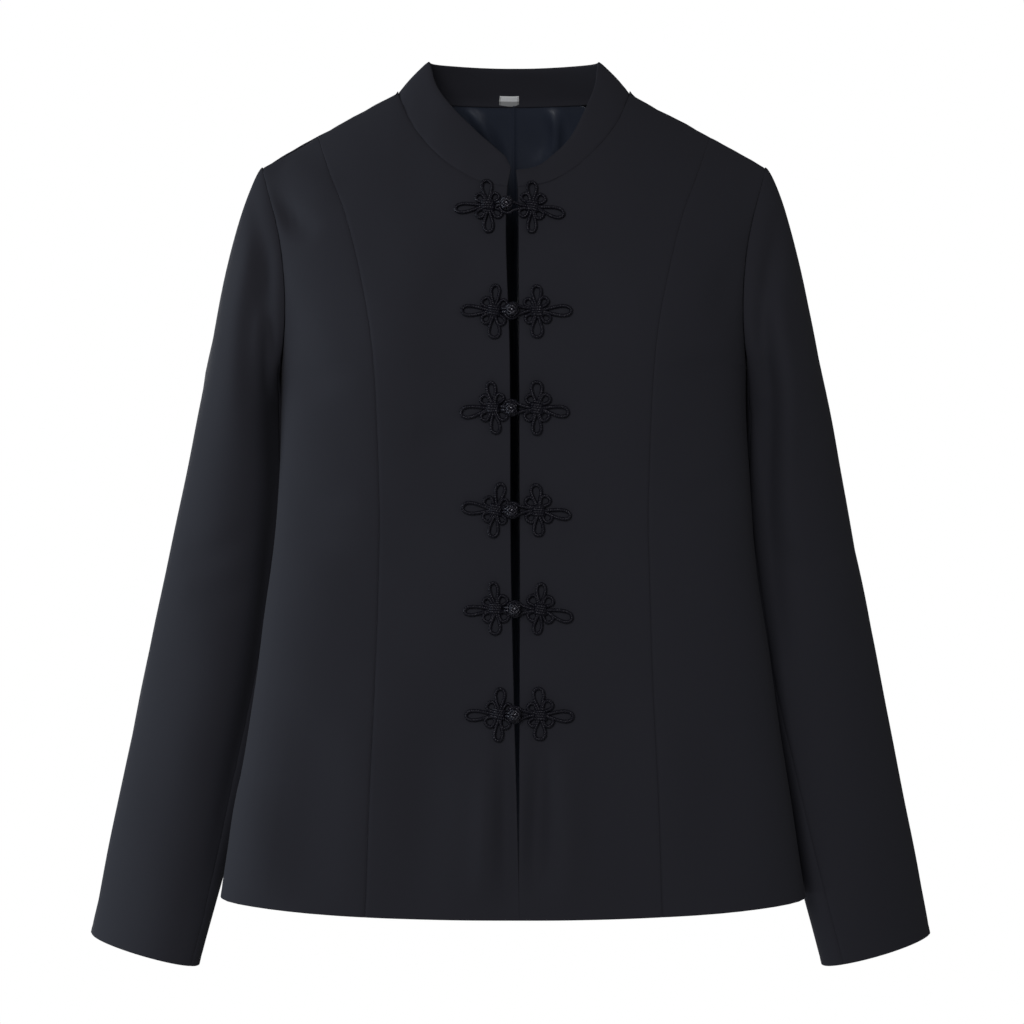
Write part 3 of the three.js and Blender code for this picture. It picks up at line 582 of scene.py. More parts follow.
def seam_relief(points, seams, hems=()):
    """How a piece dips where it is sewn to its neighbours, each seam with its strength, and the faint
    line above a turned hem."""
    first, last = arcs(points, 1)
    low, high = arcs(points, 0)
    reach = {"first": first, "last": last, "low": low, "high": high}
    along = {"first": low, "last": low, "low": first, "high": first}
    height = np.zeros(points.shape[:2])
    for name, strength in seams.items():
        d, s = reach[name], along[name]
        roll = SEAM_ROLL["depth"] * np.exp(-((d / SEAM_ROLL["width"]) ** 2))
        roll += SEAM_ROLL["soft_depth"] * np.exp(-((d / SEAM_ROLL["soft_width"]) ** 2))
        wave = np.sin(2 * np.pi * s / PUCKER["every"]) + np.sin(2 * np.pi * s / (1.7 * PUCKER["every"]))
        height += (PUCKER["height"] * wave * np.exp(-((d / PUCKER["width"]) ** 2)) - roll) * strength
    for name in hems:
        off = (reach[name] - HEM_FOLD["line"]) / HEM_FOLD["width"]
        height -= HEM_FOLD["depth"] * np.exp(-(off**2))
    return height


def shell(name, points, normals, thickness, free=()):
    """A closed wall of cloth from its outer face, a grid of points, with its free edges rounded.
    Its UV map holds the cloth's own lengths across and up, in metres."""
    rows, columns = points.shape[:2]
    turned = np.cross(np.gradient(points, axis=1), np.gradient(points, axis=0))
    if (turned * normals).sum() < 0:
        points, normals = points[:, ::-1], normals[:, ::-1]
        free = [{"first": "last", "last": "first"}.get(side, side) for side in free]
    inner = points - normals * thickness
    index = np.arange(rows * columns).reshape(rows, columns)
    border = np.concatenate([index[0], index[1:, -1], index[-1, -2::-1], index[-2:0:-1, 0]])
    flat = points.reshape(-1, 3)
    away = np.zeros((rows, columns, 3))
    if "low" in free:
        away[0] += unit(points[0] - points[1])
    if "high" in free:
        away[-1] += unit(points[-1] - points[-2])
    if "first" in free:
        away[:, 0] += unit(points[:, 0] - points[:, 1])
    if "last" in free:
        away[:, -1] += unit(points[:, -1] - points[:, -2])
    middle = (flat + inner.reshape(-1, 3))[border] / 2 + away.reshape(-1, 3)[border] * thickness * 0.42
    count = rows * columns
    vertices = np.concatenate([flat, inner.reshape(-1, 3), middle]) * MM
    a, b, c, d = index[:-1, :-1], index[:-1, 1:], index[1:, 1:], index[1:, :-1]
    outer_faces = np.stack([a, b, c, d], -1).reshape(-1, 4)
    inner_faces = np.stack([a, d, c, b], -1).reshape(-1, 4) + count
    after = np.roll(border, -1)
    mid = 2 * count + np.arange(len(border))
    mid_after = np.roll(mid, -1)
    rim = np.concatenate([
        np.stack([after, border, mid, mid_after], -1),
        np.stack([mid_after, mid, border + count, after + count], -1),
    ])
    faces = np.concatenate([outer_faces, inner_faces, rim])
    mesh = bpy.data.meshes.new(name)
    mesh.from_pydata(vertices.tolist(), [], faces.tolist())
    uv = np.stack([arcs(points, 1)[0], arcs(points, 0)[0]], -1).reshape(-1, 2) * MM
    uv = np.concatenate([uv, uv, uv[border]])
    layer = mesh.uv_layers.new(name="cloth")
    layer.data.foreach_set("uv", uv[faces.ravel()].astype(np.float32).ravel())
    mesh.shade_smooth()
    piece = bpy.data.objects.new(name, mesh)
    bpy.context.scene.collection.objects.link(piece)
    return piece


def cut_size(points):
    """The greatest width and length of a grid's cloth, and its area, in metres."""
    across, up = arcs(points, 1)[0], arcs(points, 0)[0]
    a = points[1:, 1:] - points[:-1, :-1]
    b = points[1:, :-1] - points[:-1, 1:]
    area = 0.5 * np.linalg.norm(np.cross(a, b), axis=-1).sum()
    return (float(across.max()) * MM, float(up.max()) * MM), float(area) * MM**2


def settle(piece, node, material, slot):
    """Gives a finished piece its material, its body and the solid that it stands for."""
    piece.data.materials.clear()
    piece.data.materials.append(material)
    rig.ride(piece, "root")
    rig.replaces(piece, node)
    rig.slot(piece, slot)
    return piece


def cloth(node, points, normals, thickness, free, material, slot, turned_under=0.0):
    """A finished sheet of cloth for one CAD node. Its flat size is kept on it for its declaration."""
    piece = shell(f"{node}_cloth", points, normals, thickness, free)
    flat, area = cut_size(points)
    wide, long_ = (length + 2 * turned_under * MM for length in flat)
    area += wide * long_ - flat[0] * flat[1]
    piece["flat"], piece["area"] = (wide, long_), min(area, wide * long_)
    return settle(piece, node, material, slot)


def declare(piece, held, rests_on, with_pieces=()):
    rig.sheet(piece, flat=tuple(piece["flat"]), held=held, rests_on=rests_on, with_pieces=with_pieces,
             area=piece["area"])


# ---------- Materials ----------
class Socket:
    """One value in a material. Arithmetic on it adds Math nodes."""

    def __init__(self, graph, link):
        self.graph, self.link = graph, link

    def _math(self, operation, a, b=None):
        values = {0: a} if b is None else {0: a, 1: b}
        return self.graph.node("ShaderNodeMath", {"operation": operation}, values)

    def __add__(self, other):
        return self._math("ADD", self, other)

    __radd__ = __add__

    def __mul__(self, other):
        return self._math("MULTIPLY", self, other)

    __rmul__ = __mul__

    def __sub__(self, other):
        return self._math("SUBTRACT", self, other)

    def __rsub__(self, other):
        return self._math("SUBTRACT", other, self)

    def __abs__(self):
        return self._math("ABSOLUTE", self)

    def sine(self):
        return self._math("SINE", self)


class Graph:
    """A material's nodes, made by one method from their type, settings and inputs."""

    def __init__(self, name):
        self.material = bpy.data.materials.new(name)
        self.material.use_nodes = True
        self.tree = self.material.node_tree
        self.tree.nodes.clear()

    def node(self, kind, settings_=None, inputs=None, output=0):
        made = self.tree.nodes.new(kind)
        for name, value in (settings_ or {}).items():
            if name == "stops":
                for stop, (place, colour) in zip(made.color_ramp.elements, value):
                    stop.position, stop.color = place, colour
            else:
                setattr(made, name, value)
        for key, value in (inputs or {}).items():
            if isinstance(value, Socket):
                self.tree.links.new(value.link, made.inputs[key])
            else:
                made.inputs[key].default_value = value
        return Socket(self, made.outputs[output]) if made.outputs else made

    def finish(self, shader):
        self.node("ShaderNodeOutputMaterial", {}, {"Surface": shader})
        return self.material


def noise(graph, vector, scale, detail, roughness=0.5):
    return graph.node("ShaderNodeTexNoise", {}, {
        "Vector": vector, "Scale": scale, "Detail": detail, "Roughness": roughness})


def two_tones(graph, share, colour, spread_):
    """A colour that varies a little about the given one."""
    ends = [tuple(c * k for c in colour[:3]) + (1,) for k in (1 - spread_, 1 + spread_)]
    return graph.node("ShaderNodeMix", {"data_type": "RGBA"}, {0: share, 6: ends[0], 7: ends[1]}, 2)


def woven(graph, uv, thread, along, across):
    """Height of a plain weave with threads of the given width in metres."""
    u = graph.node("ShaderNodeSeparateXYZ", {}, {0: uv}, 0)
    v = graph.node("ShaderNodeSeparateXYZ", {}, {0: uv}, 1)
    turn = 2 * math.pi / thread
    return abs((u * turn).sine()) * across + abs((v * turn).sine()) * along


def suiting_material(name, colour):
    """Smooth dark suiting: a fine weave, a soft sheen and slow unevenness in tone."""
    g = Graph(name)
    uv = g.node("ShaderNodeUVMap", {"uv_map": "cloth"})
    place = g.node("ShaderNodeTexCoord", output=3)
    cloudy = noise(g, place, 9.0, 3.0)
    fibres = noise(g, uv, 2600.0, 2.0, 0.6)
    weave = woven(g, uv, 0.0011, 0.5, 0.5)
    height = weave * 0.6 + fibres * 0.8 + noise(g, place, 60.0, 3.0) * 1.2
    bump = g.node("ShaderNodeBump", {}, {"Strength": 0.22, "Distance": 0.00025, "Height": height})
    shader = g.node("ShaderNodeBsdfPrincipled", {}, {
        "Base Color": two_tones(g, cloudy * 0.7 + fibres * 0.3, colour, 0.16),
        "Roughness": cloudy * 0.10 + 0.50,
        "Normal": bump,
        "Specular IOR Level": 0.32,
        "Sheen Weight": 0.05,
        "Sheen Roughness": 0.45,
        "Sheen Tint": (0.75, 0.78, 0.9, 1.0),
    })
    return g.finish(shader)


def satin_material(name, colour):
    """Lining satin: smooth and a little glossy, its long threads running up."""
    g = Graph(name)
    uv = g.node("ShaderNodeUVMap", {"uv_map": "cloth"})
    stretched = g.node("ShaderNodeVectorMath", {"operation": "MULTIPLY"}, {0: uv, 1: (3200.0, 160.0, 1.0)})
    threads = noise(g, stretched, 1.0, 2.0)
    cloudy = noise(g, g.node("ShaderNodeTexCoord", output=3), 22.0, 3.0)
    bump = g.node("ShaderNodeBump", {}, {
        "Strength": 0.25, "Distance": 0.0002, "Height": threads + cloudy * 3.0})
    shader = g.node("ShaderNodeBsdfPrincipled", {}, {
        "Base Color": two_tones(g, cloudy, colour, 0.22),
        "Roughness": threads * 0.08 + 0.30,
        "Normal": bump,
        "Specular IOR Level": 0.5,
    })
    return g.finish(shader)


def cord_material(name, colour, roughness=0.24, gloss=0.27):
    """Rolled satin cord: glossy, with a fine rough grain and small wrinkles across it."""
    g = Graph(name)
    along = g.node("ShaderNodeAttribute", {"attribute_name": "along"}, output=2)
    place = g.node("ShaderNodeTexCoord", output=3)
    rough = noise(g, place, 900.0, 2.0)
    wrinkle = (along * (2 * math.pi / 0.0017) + rough * 4.0).sine()
    bump = g.node("ShaderNodeBump", {}, {
        "Strength": 0.7, "Distance": 0.00028, "Height": wrinkle * 0.6 + rough * 1.8})
    shader = g.node("ShaderNodeBsdfPrincipled", {}, {
        "Base Color": two_tones(g, rough, colour, 0.25),
        "Roughness": rough * 0.16 + roughness,
        "Normal": bump,
        "Specular IOR Level": gloss,
        "Specular Tint": (0.92, 0.90, 1.0, 1.0),
    })
    return g.finish(shader)


def knot_material(name, colour):
    """The same cord drawn tight, which makes it glossier."""
    return cord_material(name, colour, 0.10, 0.62)


LABEL_SHADE_BAND = (3.6, 4.4)  # painted shade: the tape turns from shaded grey below to white above between these heights
# how dark the painted shade on the tape's lower part is, as a share of its colour
LABEL_SHADE_TONE = 0.42


def tape_material(name, colour):
    """Pale woven tape, ribbed across, with a soft unevenness and painted shade greying its lower part."""
    g = Graph(name)
    uv = g.node("ShaderNodeUVMap", {"uv_map": "cloth"})
    weave = woven(g, uv, 0.0009, 1.0, 0.4)
    cloudy = noise(g, uv, 300.0, 2.0)
    bump = g.node("ShaderNodeBump", {}, {
        "Strength": 0.5, "Distance": 0.0002, "Height": weave + cloudy * 0.5})
    up = g.node("ShaderNodeSeparateXYZ", {}, {0: uv}, 1)
    top = g.node("ShaderNodeMapRange", {"interpolation_type": "SMOOTHSTEP"}, {
        "Value": up, "From Min": LABEL_SHADE_BAND[0] * MM, "From Max": LABEL_SHADE_BAND[1] * MM})
    # painted shade: below the band the tape is darkened to grey, and above it the tape stays white as if lit
    shaded_grey = tuple(c * LABEL_SHADE_TONE for c in colour[:3]) + (1,)
    tape_with_shade = g.node("ShaderNodeMix", {"data_type": "RGBA"}, {
        0: top, 6: shaded_grey, 7: two_tones(g, cloudy * 0.5 + weave * 0.4, colour, 0.14)}, 2)
    shader = g.node("ShaderNodeBsdfPrincipled", {}, {
        "Base Color": tape_with_shade,
        "Roughness": 0.6,
        "Normal": bump,
        "Specular IOR Level": 0.3,
        "Sheen Weight": 0.1,
    })
    return g.finish(shader)


def floor_material(name, colour):
    g = Graph(name)
    place = g.node("ShaderNodeTexCoord", output=3)
    shader = g.node("ShaderNodeBsdfPrincipled", {}, {
        "Base Color": two_tones(g, noise(g, place, 0.6, 2.0), colour, 0.01),
        "Roughness": 0.8,
    })
    return g.finish(shader)


def material(make, name, colour):
    """A material by name, made the first time that it is asked for."""
    return bpy.data.materials.get(name) or make(name, tuple(colour))


def suiting():
    return material(suiting_material, "suiting", settings().suiting_colour)


def satin():
    return material(satin_material, "lining_satin", settings().lining_colour)


def cording():
    return material(cord_material, "satin_cord", settings().cord_colour)


def knotting():
    return material(knot_material, "knot_cord", settings().cord_colour)


# ---------- Body pieces ----------
BELOW_STEP = 4.6
ROWS_ABOVE = 44
COLUMN_STEP = 4.2


def panel_heights(hem, top):
    """Heights of a panel's rows, from the hem to the underarm and on to the top of each column."""
    below = spread(UNDERARM - FRONT_HEM, BELOW_STEP, True, False)[:-1, None]
    above = ((1 - np.cos(np.pi * np.arange(ROWS_ABOVE + 1) / ROWS_ABOVE)) / 2)[:, None]
    return np.concatenate([mix(hem, UNDERARM, below), mix(UNDERARM, top, above)])


def body_panel(side, top_x, from_, to, top_at, hem_middle, on_back):
    """A panel's grid of points and its outward normals."""
    top = top_at(top_x)
    share = (turn_at(top_x, top, on_back) - from_(top)) / (to(top) - from_(top))
    share = np.clip((share - share[0]) / (share[-1] - share[0]), 0, 1)
    out = hem_share(mix(from_(FRONT_HEM), to(FRONT_HEM), share))
    z = panel_heights(hem_at(out, hem_middle), top)
    a, b = from_(z), to(z)
    pull = np.sign(b - a) * GAP / BODY("half", z)
    turn = side * mix(a + pull / 2, b - pull, share)
    points = body_point(turn, z)
    normals = grid_normals(points, points * (1, 1, 0) + (0, 0, 1e-3))
    on_shoulder = top_x >= NECK_HALF
    points[-1, on_shoulder, 1] += GAP if on_back else -GAP
    normals[-1, on_shoulder, 1] = 0
    return points, unit(normals)


def runs(*places):
    """Columns of a panel between the given distances from the centre, fine at both ends."""
    parts = []
    for i, (low, high) in enumerate(zip(places[:-1], places[1:])):
        shares = spread(high - low, COLUMN_STEP, i == 0, i == len(places) - 2)
        parts.append(mix(low, high, shares)[(1 if i else 0):])
    return np.concatenate(parts)


def build_fronts():
    kit = settings()
    for name, side in SIDES.items():
        edge_x = edge_top(name)

        def edge(z, name=name, side=side):
            return turn_at(side * OPENING(name, z), z)

        seam_x = float(PRINCESS.columns["x"][-1])
        for piece, top_x, from_, to, seams, free in (
            ("centre_front", runs(edge_x, NECK_HALF, seam_x), edge, princess_turn,
             {"last": PRINCESS_STRENGTH, "high": 1.0}, ("first", "low")),
            ("side_front", runs(seam_x, ARM_POINT_X), princess_turn, lambda z: side_turn(z, "front"),
             {"first": PRINCESS_STRENGTH, "last": ARMHOLE_STRENGTH, "high": 1.0}, ("low",)),
        ):
            points, normals = body_panel(side, top_x, from_, to, front_top, FRONT_HEM, False)
            height = front_height(points[..., 0], points[..., 2])
            if piece == "side_front":
                height = height * smooth_step(arcs(points, 1)[1], *SIDE_FADE)
            princess = "last" if piece == "centre_front" else "first"
            fade = smooth_step(arcs(points, 0)[1], *PRINCESS_FADE)
            height += seam_relief(points, {**seams, princess: seams[princess] * fade}, ("low",))
            points = points + normals * height[..., None]
            cloth(f"{name}_{piece}", points, normals, kit.cloth_thickness / MM, free, suiting(), "suiting")


def build_backs():
    kit = settings()
    for name, side in SIDES.items():
        points, normals = body_panel(
            side, runs(0.0, NECK_HALF, ARM_POINT_X), lambda z: np.full(np.shape(z), np.pi),
            lambda z: side_turn(z, "back"), back_top, BACK_HEM, True)
        height = back_height(points[..., 0], points[..., 2]) * smooth_step(arcs(points, 1)[1], *SIDE_FADE)
        height += seam_relief(points, {"first": 1.0, "last": ARMHOLE_STRENGTH, "high": 1.0}, ("low",))
        points = points + normals * height[..., None]
        cloth(f"{name}_back", points, normals, kit.cloth_thickness / MM, ("low",), suiting(), "suiting")


LINING_EASE = 0.9
LINING_LOW = 22.0  # above the hem
LINING_HIGH = 7.0  # below the shoulder seam
LINING_NECK_DROP = 0.6  # below the neck seam
LINING_HALF = 181.0
LINING_SETTLED = 9.0  # its folds die away over this distance below its top edge


def build_lining():
    kit = settings()
    half = mix(0.0, LINING_HALF, spread(LINING_HALF, 4.0, True, True))
    x = np.concatenate([-half[:0:-1], half])
    sign = np.where(x < 0, -1.0, 1.0)
    x = np.abs(x)
    top = back_top(x)
    share = (turn_at(x, top, True) - np.pi) / (side_turn(top, "back") - np.pi)
    at_neck = 1 - smooth_step(x, 0.5 * NECK_HALF, 0.8 * NECK_HALF)
    high = top - mix(LINING_HIGH, LINING_NECK_DROP, at_neck)
    rows = spread(-BACK_HEM, 5.0, True, True)[:, None]
    out = hem_share(mix(np.pi, side_turn(BACK_HEM, "back"), share))
    z = mix(hem_at(out, BACK_HEM) + LINING_LOW, high, rows)
    turn = sign * mix(np.pi, side_turn(z, "back"), share)
    points = body_point(turn, z)
    normals = grid_normals(points, points * (1, 1, 0) + (0, 0, 1e-3))
    sx, sz = points[..., 0], points[..., 2]
    swell = creases(sx, sz, LINING_FOLDS) * kit.fold_strength
    swell = np.maximum(swell, 0) + 0.5 * (1 + np.sin(sx / 11 + sz / 37) * np.sin(sz / 53 + sx / 29))
    swell *= smooth_step(high - z, 0.0, LINING_SETTLED)
    centre = 0.9 * np.exp(-((sx / 1.2) ** 2))
    depth = kit.cloth_thickness / MM + LINING_EASE + swell + centre - np.minimum(back_height(sx, sz), 0)
    points = points - normals * depth[..., None]
    cloth("back_lining", points, normals, kit.lining_thickness / MM, ("low", "high", "first", "last"),
          satin(), "lining")


# ---------- Sleeves ----------
HEAD_ROWS = 26
HEAD_CROWDING = 1.4
TUBE_STEP = 4.8
AROUND_STEP = 4.2


def tube_point(side, round_, z):
    """Points of the sleeve's tube: round_ is 0 on the outside and a quarter circle at the front."""
    down = (SLEEVE_TOP - z) / (SLEEVE_TOP - CUFF)
    out = SLEEVE("half", z) * np.cos(round_)
    back = mix(*SLEEVE_PITCH, down) * np.cos(round_) - SLEEVE("depth", z) * np.sin(round_)
    return np.stack([
        side * (SLEEVE("x", z) - side * SLEEVE_SWING * down + out * math.cos(SLEEVE_TILT)),
        SLEEVE("y", z) + back,
        z + out * math.sin(SLEEVE_TILT),
    ], -1)


def sleeve_point(side, round_, down):
    """Points of the whole sleeve: down is 0 at the armhole, 1 at the tube's top and 2 at the cuff."""
    round_, down = np.broadcast_arrays(round_, down)
    tube = tube_point(side, round_, mix(SLEEVE_TOP, CUFF, np.clip(down - 1, 0, 1)))
    z = ARMHOLE_MIDDLE + ARMHOLE_HALF * np.cos(round_)
    turn = side * np.where(np.sin(round_) >= 0, side_turn(z, "front"), side_turn(z, "back"))
    point, normal = body_point(turn, z), body_normal(turn, z)
    degrees = np.degrees(round_) % 360
    out, back, fall, reach = (SLEEVE_HEAD(name, degrees) for name in ("out", "back", "down", "reach"))
    leave = unit(np.stack([side * out, back, -fall], -1))
    start = point + unit(leave + normal) * GAP
    end = tube_point(side, round_, np.full(round_.shape, SLEEVE_TOP))
    landing = unit(tube_point(side, round_, np.full(round_.shape, SLEEVE_TOP - 12.0)) - end)
    settling = HEAD_LANDING * (start[..., 2:] - end[..., 2:])
    p1, p2 = start + leave * reach[..., None], end - landing * settling
    t = np.clip(down, 0, 1)[..., None]
    head = (1 - t) ** 3 * start + 3 * (1 - t) ** 2 * t * p1 + 3 * (1 - t) * t**2 * p2 + t**3 * end
    return np.where(down[..., None] > 1, tube, head)


def build_sleeves():
    kit = settings()
    head = (np.arange(HEAD_ROWS) / HEAD_ROWS) ** HEAD_CROWDING
    tube = 1 + spread(SLEEVE_TOP - CUFF, TUBE_STEP, False, True)
    down = np.concatenate([head, tube])[:, None]
    twist = smooth_step(down, 0.2, 2.0)
    for name, side in SIDES.items():
        front_cuff = FRONT_SEAM_AT_CUFF[name]
        folds = RIGHT_SLEEVE_FOLDS if side < 0 else LEFT_SLEEVE_FOLDS
        for piece, low, low_cuff, high, high_cuff in (
            ("top_sleeve", BACK_SEAM_AT_ARMHOLE - 360, BACK_SEAM_AT_CUFF - 360,
             FRONT_SEAM_AT_ARMHOLE, front_cuff),
            ("under_sleeve", FRONT_SEAM_AT_ARMHOLE, front_cuff,
             BACK_SEAM_AT_ARMHOLE, BACK_SEAM_AT_CUFF),
        ):
            start, end = mix(low, low_cuff, twist), mix(high, high_cuff, twist)
            width = math.radians(high - low) * SLEEVE_RADIUS
            share = spread(width, AROUND_STEP)
            pull = GAP / 2 / SLEEVE_RADIUS
            round_ = np.radians(mix(start, end, share))
            round_ = round_ + mix(pull, -pull, share)
            points = sleeve_point(side, round_, np.maximum(down, 1e-4))
            middle = sleeve_point(side, np.array([[0.0, 0.5, 1.0, 1.5]]) * np.pi, np.maximum(down, 1e-4))
            normals = grid_normals(points, points - middle.mean(1, keepdims=True))
            degrees = np.degrees(round_) % 360
            per_degree = math.radians(1) * SLEEVE_RADIUS
            height = creases(degrees * per_degree, points[..., 2], folds, (per_degree, 1.0))
            height += slow_waves(degrees * per_degree + 60 * side, points[..., 2])
            height = height * kit.fold_strength * smooth_step(down, 0.0, 0.35)
            height += seam_relief(points, {"first": 1.0, "last": 1.0, "low": ARMHOLE_STRENGTH}, ("high",))
            points = points + normals * height[..., None]
            cloth(f"{name}_{piece}", points, normals, kit.cloth_thickness / MM, ("high",), suiting(),
                  "suiting")


# ---------- Collar and label ----------
COLLAR_GAP = 0.0
COLLAR_UNDERLAP = 0.09  # the facing reaches this share of its height below the neck seam
OVER_LINING = 1.2  # and swings out by this much there, over the lining's top edge
COLLAR_PLY = 1.2
LABEL = {
    "x": -3.9, "half_width": 7.8, "low": -0.06, "high": 0.23, "thickness": 0.5, "turned_under": 1.2,
}


def neck_line(name):
    """Half the neck seam, from the centre back round to a front edge, and distances along it."""
    back = np.linspace(0.0, NECK_HALF, 90)
    front = np.linspace(NECK_HALF, edge_top(name), 90)[1:]
    points = np.concatenate([
        body_point(turn_at(back, back_top(back), True), back_top(back)),
        body_point(turn_at(front, FRONT_NECK("z", front)), FRONT_NECK("z", front)),
    ])
    return points, arcs(points[None], 1)[0][0]


def collar_point(along, up):
    """Points of the collar: along is -1 at its right end and 1 at its left, up runs from 0 to 1."""
    along, up = np.broadcast_arrays(along, up)
    place = np.minimum(np.abs(along), 1)
    sign = np.where(along < 0, -1.0, 1.0)
    seam = np.zeros((*place.shape, 3))
    for name, side in SIDES.items():
        points, lengths = neck_line(name)
        at = place * lengths[-1]
        found = np.stack([np.interp(at, lengths, points[:, i]) for i in range(3)], -1)
        seam = np.where((sign == side)[..., None], found, seam)
    inward, rise = (
        np.where(sign < 0, COLLAR(name + "_right", place), COLLAR(name + "_left", place))
        for name in ("in", "rise"))
    back = COLLAR("back", place)
    return np.stack([
        sign * (seam[..., 0] - inward * up),
        seam[..., 1] + back * up,
        seam[..., 2] + COLLAR_GAP + rise * up,
    ], -1)


def collar_grid(along, up, sink):
    points = collar_point(along, up)
    normals = grid_normals(points, points * (1, 1, 0) + (0, 0, 1e-3))
    return points - normals * sink, normals


def build_collar():
    kit = settings()
    half = neck_line("left")[1][-1]
    along = spread(2 * half, 2.6) * 2 - 1
    up = spread(25.0, 1.6)[:, None]
    for node, sink, low in (("collar", 0.0, 0.0), ("collar_facing", COLLAR_PLY + GAP, -COLLAR_UNDERLAP)):
        points, normals = collar_grid(along, mix(low, 1.0, up), sink)
        s = along * half
        bow = 0.5 * np.sin(np.pi * up) + 0.35 * np.sin(s / 17 + 0.6) * np.sin(np.pi * up) ** 2
        rim = 0.4 * np.exp(-(((1 - up) * 25 / 1.4) ** 2)) * (-1 if sink == 0 else 1)
        height = bow * kit.fold_strength + rim
        if node == "collar":
            height = height + seam_relief(points, {"low": 1.0})
        else:
            height = height - OVER_LINING * np.exp(-((arcs(points, 0)[0] / 3.0) ** 2))
        points = points + normals * height[..., None]
        cloth(node, points, normals, COLLAR_PLY, ("high", "first", "last"), suiting(), "suiting")


def build_label():
    kit = settings()
    half = neck_line("left")[1][-1]
    low, high = (LABEL["x"] - LABEL["half_width"]) / half, (LABEL["x"] + LABEL["half_width"]) / half
    along = mix(low, high, spread(2 * LABEL["half_width"], 0.8))
    up = mix(LABEL["low"], LABEL["high"], np.linspace(0, 1, 13))[:, None]
    points, normals = collar_grid(along, up, 2 * (COLLAR_PLY + GAP) + 0.1)
    s = along * half - LABEL["x"]
    bow = 0.5 * np.cos(np.pi * s / (2 * LABEL["half_width"])) + 0.1 * np.sin(s / 1.9)
    points = points - normals * (bow * np.ones_like(up))[..., None]
    tape = material(tape_material, "label_tape", kit.label_colour)
    label = cloth("neck_label", points, normals, LABEL["thickness"], ("low", "high", "first", "last"), tape,
                  "label", LABEL["turned_under"])
    ends = []
    for column in (1, -2):
        line = points[:, column] - normals[:, column] * 0.55
        ends.append(line[1:-1])
    stitches = along_paths("label_stitches", ends, stitch_tree(cording()), {
        "Every": 0.0013, "Length": 0.0009, "Thickness": 0.00016})
    stitches.data.materials.clear()
    stitches.data.materials.append(cording())
    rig.ride(stitches, "root")
    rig.slot(stitches, "cord")
    return label


# ---------- Frogs ----------
def tree_with(name, floats, integers=()):
    """An empty node tree for a shape that follows paths, with its named inputs."""
    tree = bpy.data.node_groups.new(name, "GeometryNodeTree")
    tree.interface.new_socket("Geometry", in_out="INPUT", socket_type="NodeSocketGeometry")
    for label, value in floats:
        made = tree.interface.new_socket(label, in_out="INPUT", socket_type="NodeSocketFloat")
        made.default_value = value
    for label, value in integers:
        made = tree.interface.new_socket(label, in_out="INPUT", socket_type="NodeSocketInt")
        made.default_value = value
    tree.interface.new_socket("Geometry", in_out="OUTPUT", socket_type="NodeSocketGeometry")
    return tree, tree.nodes.new("NodeGroupInput")


def chain(tree, start, *steps):
    """Adds nodes one after another: each step is a type, its settings and its other inputs."""
    link = start
    for kind, options, inputs, into in steps:
        node = tree.nodes.new(kind)
        for key, value in options.items():
            setattr(node, key, value)
        for key, value in inputs.items():
            if isinstance(value, bpy.types.NodeSocket):
                tree.links.new(value, node.inputs[key])
            else:
                node.inputs[key].default_value = value
        if link is not None:
            tree.links.new(link, node.inputs[into])
        link = node.outputs[0]
    return link


def cord_tree(finish):
    """A round cord along every path, with its length stored as it goes."""
    tree, given = tree_with("cord_along_path", [("Radius", 0.00115), ("Spacing", 0.0007)], [("Sides", 10)])
    length = tree.nodes.new("GeometryNodeSplineParameter").outputs["Length"]
    circle = chain(tree, None, ("GeometryNodeCurvePrimitiveCircle", {}, {
        "Resolution": given.outputs["Sides"], "Radius": given.outputs["Radius"]}, None))
    result = chain(
        tree, given.outputs["Geometry"],
        ("GeometryNodeMeshToCurve", {}, {}, "Mesh"),
        ("GeometryNodeCurveSplineType", {"spline_type": "CATMULL_ROM"}, {}, "Curve"),
        ("GeometryNodeResampleCurve", {"mode": "LENGTH"}, {"Length": given.outputs["Spacing"]}, "Curve"),
        ("GeometryNodeStoreNamedAttribute", {"data_type": "FLOAT", "domain": "POINT"},
         {"Name": "along", "Value": length}, "Geometry"),
        ("GeometryNodeCurveToMesh", {}, {"Profile Curve": circle, "Fill Caps": True}, "Curve"),
        ("GeometryNodeSetShadeSmooth", {}, {}, "Geometry"),
        ("GeometryNodeRealizeInstances", {}, {}, "Geometry"),
        ("GeometryNodeSetMaterial", {}, {"Material": finish}, "Geometry"),
    )
    end = tree.nodes.new("NodeGroupOutput")
    tree.links.new(result, end.inputs["Geometry"])
    return tree


def stitch_tree(finish):
    """Short stitches of thread in a row along every path."""
    tree, given = tree_with("stitches_along_path", [
        ("Every", 0.0013), ("Length", 0.0009), ("Thickness", 0.00016)])
    stitch = chain(tree, None, ("GeometryNodeMeshCylinder", {}, {
        "Vertices": 6, "Side Segments": 2, "Radius": given.outputs["Thickness"],
        "Depth": given.outputs["Length"]}, None))
    points = tree.nodes.new("GeometryNodeCurveToPoints")
    points.mode = "LENGTH"
    curve = chain(tree, given.outputs["Geometry"], ("GeometryNodeMeshToCurve", {}, {}, "Mesh"))
    tree.links.new(curve, points.inputs["Curve"])
    tree.links.new(given.outputs["Every"], points.inputs["Length"])
    result = chain(
        tree, points.outputs["Points"],
        ("GeometryNodeInstanceOnPoints", {}, {
            "Instance": stitch, "Rotation": points.outputs["Rotation"]}, "Points"),
        ("GeometryNodeRealizeInstances", {}, {}, "Geometry"),
        ("GeometryNodeSetMaterial", {}, {"Material": finish}, "Geometry"),
    )
    end = tree.nodes.new("NodeGroupOutput")
    tree.links.new(result, end.inputs["Geometry"])
    return tree


